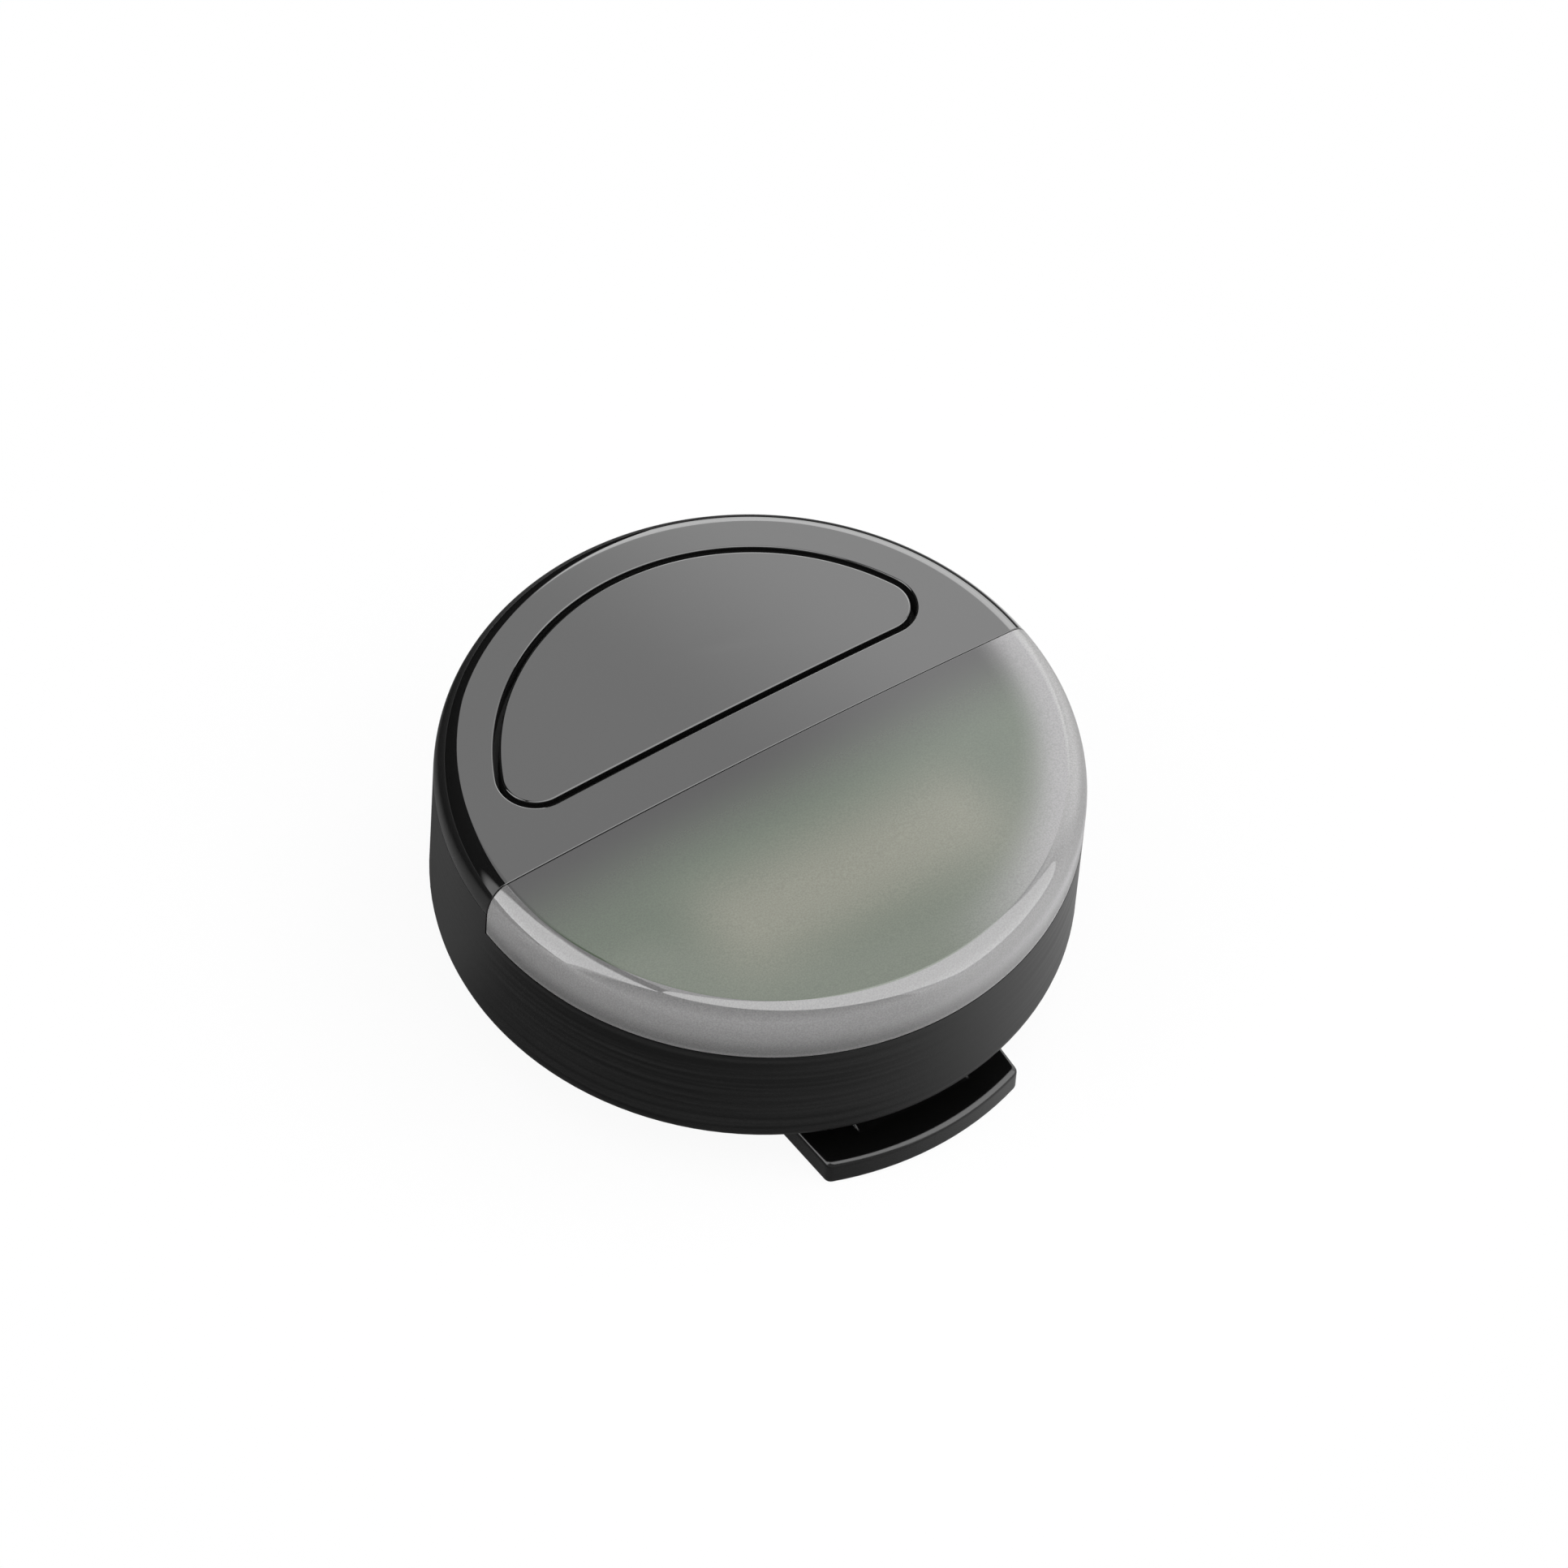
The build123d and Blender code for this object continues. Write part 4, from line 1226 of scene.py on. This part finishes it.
def glow_finish(name, radiance):
    """Even white glow of a softbox."""
    tree = Tree(name)
    return tree.show(tree.glow(radiance))


def fading_finish(name, corners, width):
    """Glow of a softbox that fades out over a width in millimetres, along two edges that bend inward."""
    tree = Tree(name)
    _, (x, y, z) = tree.place()
    start, bend, end = [toward(*corner) for corner in corners]
    lit = []
    for inward in (bend.cross(start).normalized(), end.cross(bend).normalized()):
        lit.append((x * inward.x + y * inward.y + z * inward.z).ramp(0, width))
    tone = tree.grey(lit[0].most(lit[1]), 0, 1)
    return tree.show(tree.glow(studio().softbox, tone))


def card_finish():
    """White card whose glow grows softly to the right."""
    tree = Tree("rear_card")
    _, (x, _, _) = tree.place()
    low, high = studio().card_left, studio().card_right
    return tree.show(tree.glow(high, tree.grey(x.ramp(*CARD_RISE), low / high, 1)))


def strip_finish():
    """White strip that is brightest in its upper part."""
    tree = Tree("rear_strip")
    _, (_, _, z) = tree.place()
    top, high, low = studio().strip_top, studio().strip, studio().strip_low
    upper = tree.grey(z.ramp(*STRIP_RISE), top / high, 1)
    lower = tree.grey(z.ramp(*STRIP_FALL), 1, low / high)
    return tree.show(tree.glow(high, tree.mix(1.0, upper, lower, "MULTIPLY")))


def flag_finish():
    """Matt black cloth of a flag."""
    tree = Tree("flag")
    return tree.show(tree.add("ShaderNodeBsdfDiffuse", {}, {"Color": (0.01, 0.01, 0.01, 1)}))


def add_lamps():
    """Softboxes, the pale wall, the rear strip and card, the dim room and the black flags."""
    box = glow_finish("softbox", studio().softbox)
    add_flat("softbox_overhead", level(OVERHEAD, OVERHEAD_H), box, OVERHEAD_ROUND)
    fading = fading_finish("softbox_fading", LEFT_FADING, LEFT_FADE)
    add_flat("softbox_left", facing(LEFT_BOX + LEFT_FADING, LEFT_FAR), fading)
    add_flat("right_wall", facing(RIGHT_WALL, WALL_FAR), glow_finish("right_wall", studio().wall))
    add_flat("softbox_right", facing(RIGHT_BOX, RIGHT_FAR), box, RIGHT_ROUND)
    strip = add_flat("strip_rear", facing(REAR_STRIP, STRIP_FAR), strip_finish())
    card = add_flat("rear_card", level(REAR_CARD, CARD_H), card_finish())
    for made in (strip, card):
        made.visible_diffuse = False  # both are there only to be mirrored
    black = flag_finish()
    for name, corners in FLAGS.items():
        add_flat(name, facing(corners, FLAG_FAR), black)
    add_flat("dim_front", facing(DIM_FRONT, DIM_FAR), glow_finish("dim_front", studio().dim))


def ray_kinds(tree):
    """Whether a ray comes from the camera, and whether it comes from a gloss or through glass."""
    path = "ShaderNodeLightPath"
    camera = tree.add(path, output="Is Camera Ray")
    glossy = tree.add(path, output="Is Glossy Ray")
    through = tree.add(path, output="Is Transmission Ray")
    return camera, glossy.most(through)


def add_world():
    """White to the camera and in reflections, and a low even fill otherwise."""
    world = bpy.data.worlds.new("studio")
    tree = Tree(world)
    camera, mirrored = ray_kinds(tree)
    white = tree.add("ShaderNodeBackground", {}, {"Color": (1, 1, 1, 1)})
    fill = tree.add("ShaderNodeBackground", {}, {"Color": (1, 1, 1, 1), "Strength": studio().fill})
    both = tree.add("ShaderNodeMixShader", {}, {0: camera.most(mirrored), 1: fill, 2: white})
    tree.add("ShaderNodeOutputWorld", {}, {"Surface": both})
    bpy.context.scene.world = world


def floor_tone(tree, x, y):
    """Brightness of the floor in reflections: painted shade low round the light, lower still in front and
    behind, with painted light to the right and at the left rear.
    """
    r = from_axis(x, y)
    # Painted shade round the light
    near = (r + x * SHADE_LEAN).ramp(*SHADE_R, False).span(SHADE_LEAST, 1)
    # Painted light to the right, and below at the left rear
    right = x.ramp(*FLOOR_RIGHT_LIGHT_X) * FLOOR_RIGHT_LIGHT
    front = ((x * FRONT_WAY[0] + y * FRONT_WAY[1]) / r).ramp(*FRONT_WEDGE)
    left_rear = x.ramp(*LEFT_REAR_X) * y.ramp(*LEFT_REAR_Y) * LEFT_REAR_LIGHT
    behind = y.ramp(*BEHIND_Y) * (y - x * BEHIND_LEAN).ramp(*BEHIND_SPAN)
    return ((near + right).least(front.span(1, FRONT_LEAST)) + left_rear) * behind.span(1, BEHIND_LEAST)


def floor_finish():
    """Pale floor that takes the light's shadow, and is otherwise clear to the camera and from below.

    Behind it is the white world, so it looks white, and the open clip shows below it.
    """
    tree = Tree("floor")
    _, (x, y, _) = tree.place()
    camera, mirrored = ray_kinds(tree)
    matt = tree.add("ShaderNodeBsdfDiffuse", {}, {"Color": (0.8, 0.8, 0.8, 1)})
    glow = tree.glow(1, tree.grey(floor_tone(tree, x, y), 0, 1))
    both = tree.add("ShaderNodeMixShader", {}, {0: mirrored, 1: matt, 2: glow})
    below = tree.add("ShaderNodeNewGeometry", output="Backfacing")
    clear = camera * from_axis(x, y).ramp(*CLEAR_R).span(CLEAR_LEAST, 1)
    through = tree.add("ShaderNodeBsdfTransparent")
    return tree.show(tree.add("ShaderNodeMixShader", {}, {0: clear.most(below), 1: both, 2: through}))


def add_floor():
    """Level floor that faces up, just under the clip."""
    mesh = bmesh.new()
    below = Matrix.Translation((0, 0, -FLOOR_GAP))
    bmesh.ops.create_grid(mesh, x_segments=FLOOR_STEPS, y_segments=FLOOR_STEPS, size=FLOOR_SIZE, matrix=below)
    floor = piece("floor", mesh, floor_finish())
    # A flat sheet has no outside, so it can come out of piece() facing down.
    if floor.data.polygons[0].normal.z < 0:
        floor.data.flip_normals()


class LIGHT_OT_stage(bpy.types.Operator):
    """Set up the floor, the lamps and the camera"""

    bl_idname = "clip_light.stage"
    bl_label = "Stage"

    def execute(self, context):
        add_floor()
        add_world()
        add_camera()
        add_lamps()
        context.scene.view_settings.view_transform = "Standard"
        return {"FINISHED"}


OPERATORS = (
    LIGHT_OT_cover,
    LIGHT_OT_lens,
    LIGHT_OT_button,
    LIGHT_OT_seal,
    LIGHT_OT_spring,
    LIGHT_OT_frame_finishes,
    LIGHT_OT_stage,
)


class LIGHT_PT_panel(bpy.types.Panel):
    """Settings of the light, and a button for each step of its building"""

    bl_label = "Round clip-on light"
    bl_idname = "LIGHT_PT_panel"
    bl_space_type = "VIEW_3D"
    bl_region_type = "UI"
    bl_category = "Light"

    def draw(self, context):
        for group in (shape(), finish(), studio()):
            for key in group.__annotations__:
                self.layout.prop(group, key)
        for operator in OPERATORS:
            self.layout.operator(operator.bl_idname)


GROUPS = {"light_shape": LightShape, "light_finish": LightFinish, "light_stage": LightStage}


def register():
    for kind in (*GROUPS.values(), *OPERATORS, LIGHT_PT_panel):
        bpy.utils.register_class(kind)
    for name, kind in GROUPS.items():
        setattr(bpy.types.Scene, name, PointerProperty(type=kind))


def unregister():
    for name in GROUPS:
        delattr(bpy.types.Scene, name)
    for kind in (LIGHT_PT_panel, *reversed(OPERATORS), *GROUPS.values()):
        bpy.utils.unregister_class(kind)


def main():
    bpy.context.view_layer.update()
    register()
    for operator in OPERATORS:
        space, name = operator.bl_idname.split(".")
        getattr(getattr(bpy.ops, space), name)()


if __name__ == "__main__":
    main()
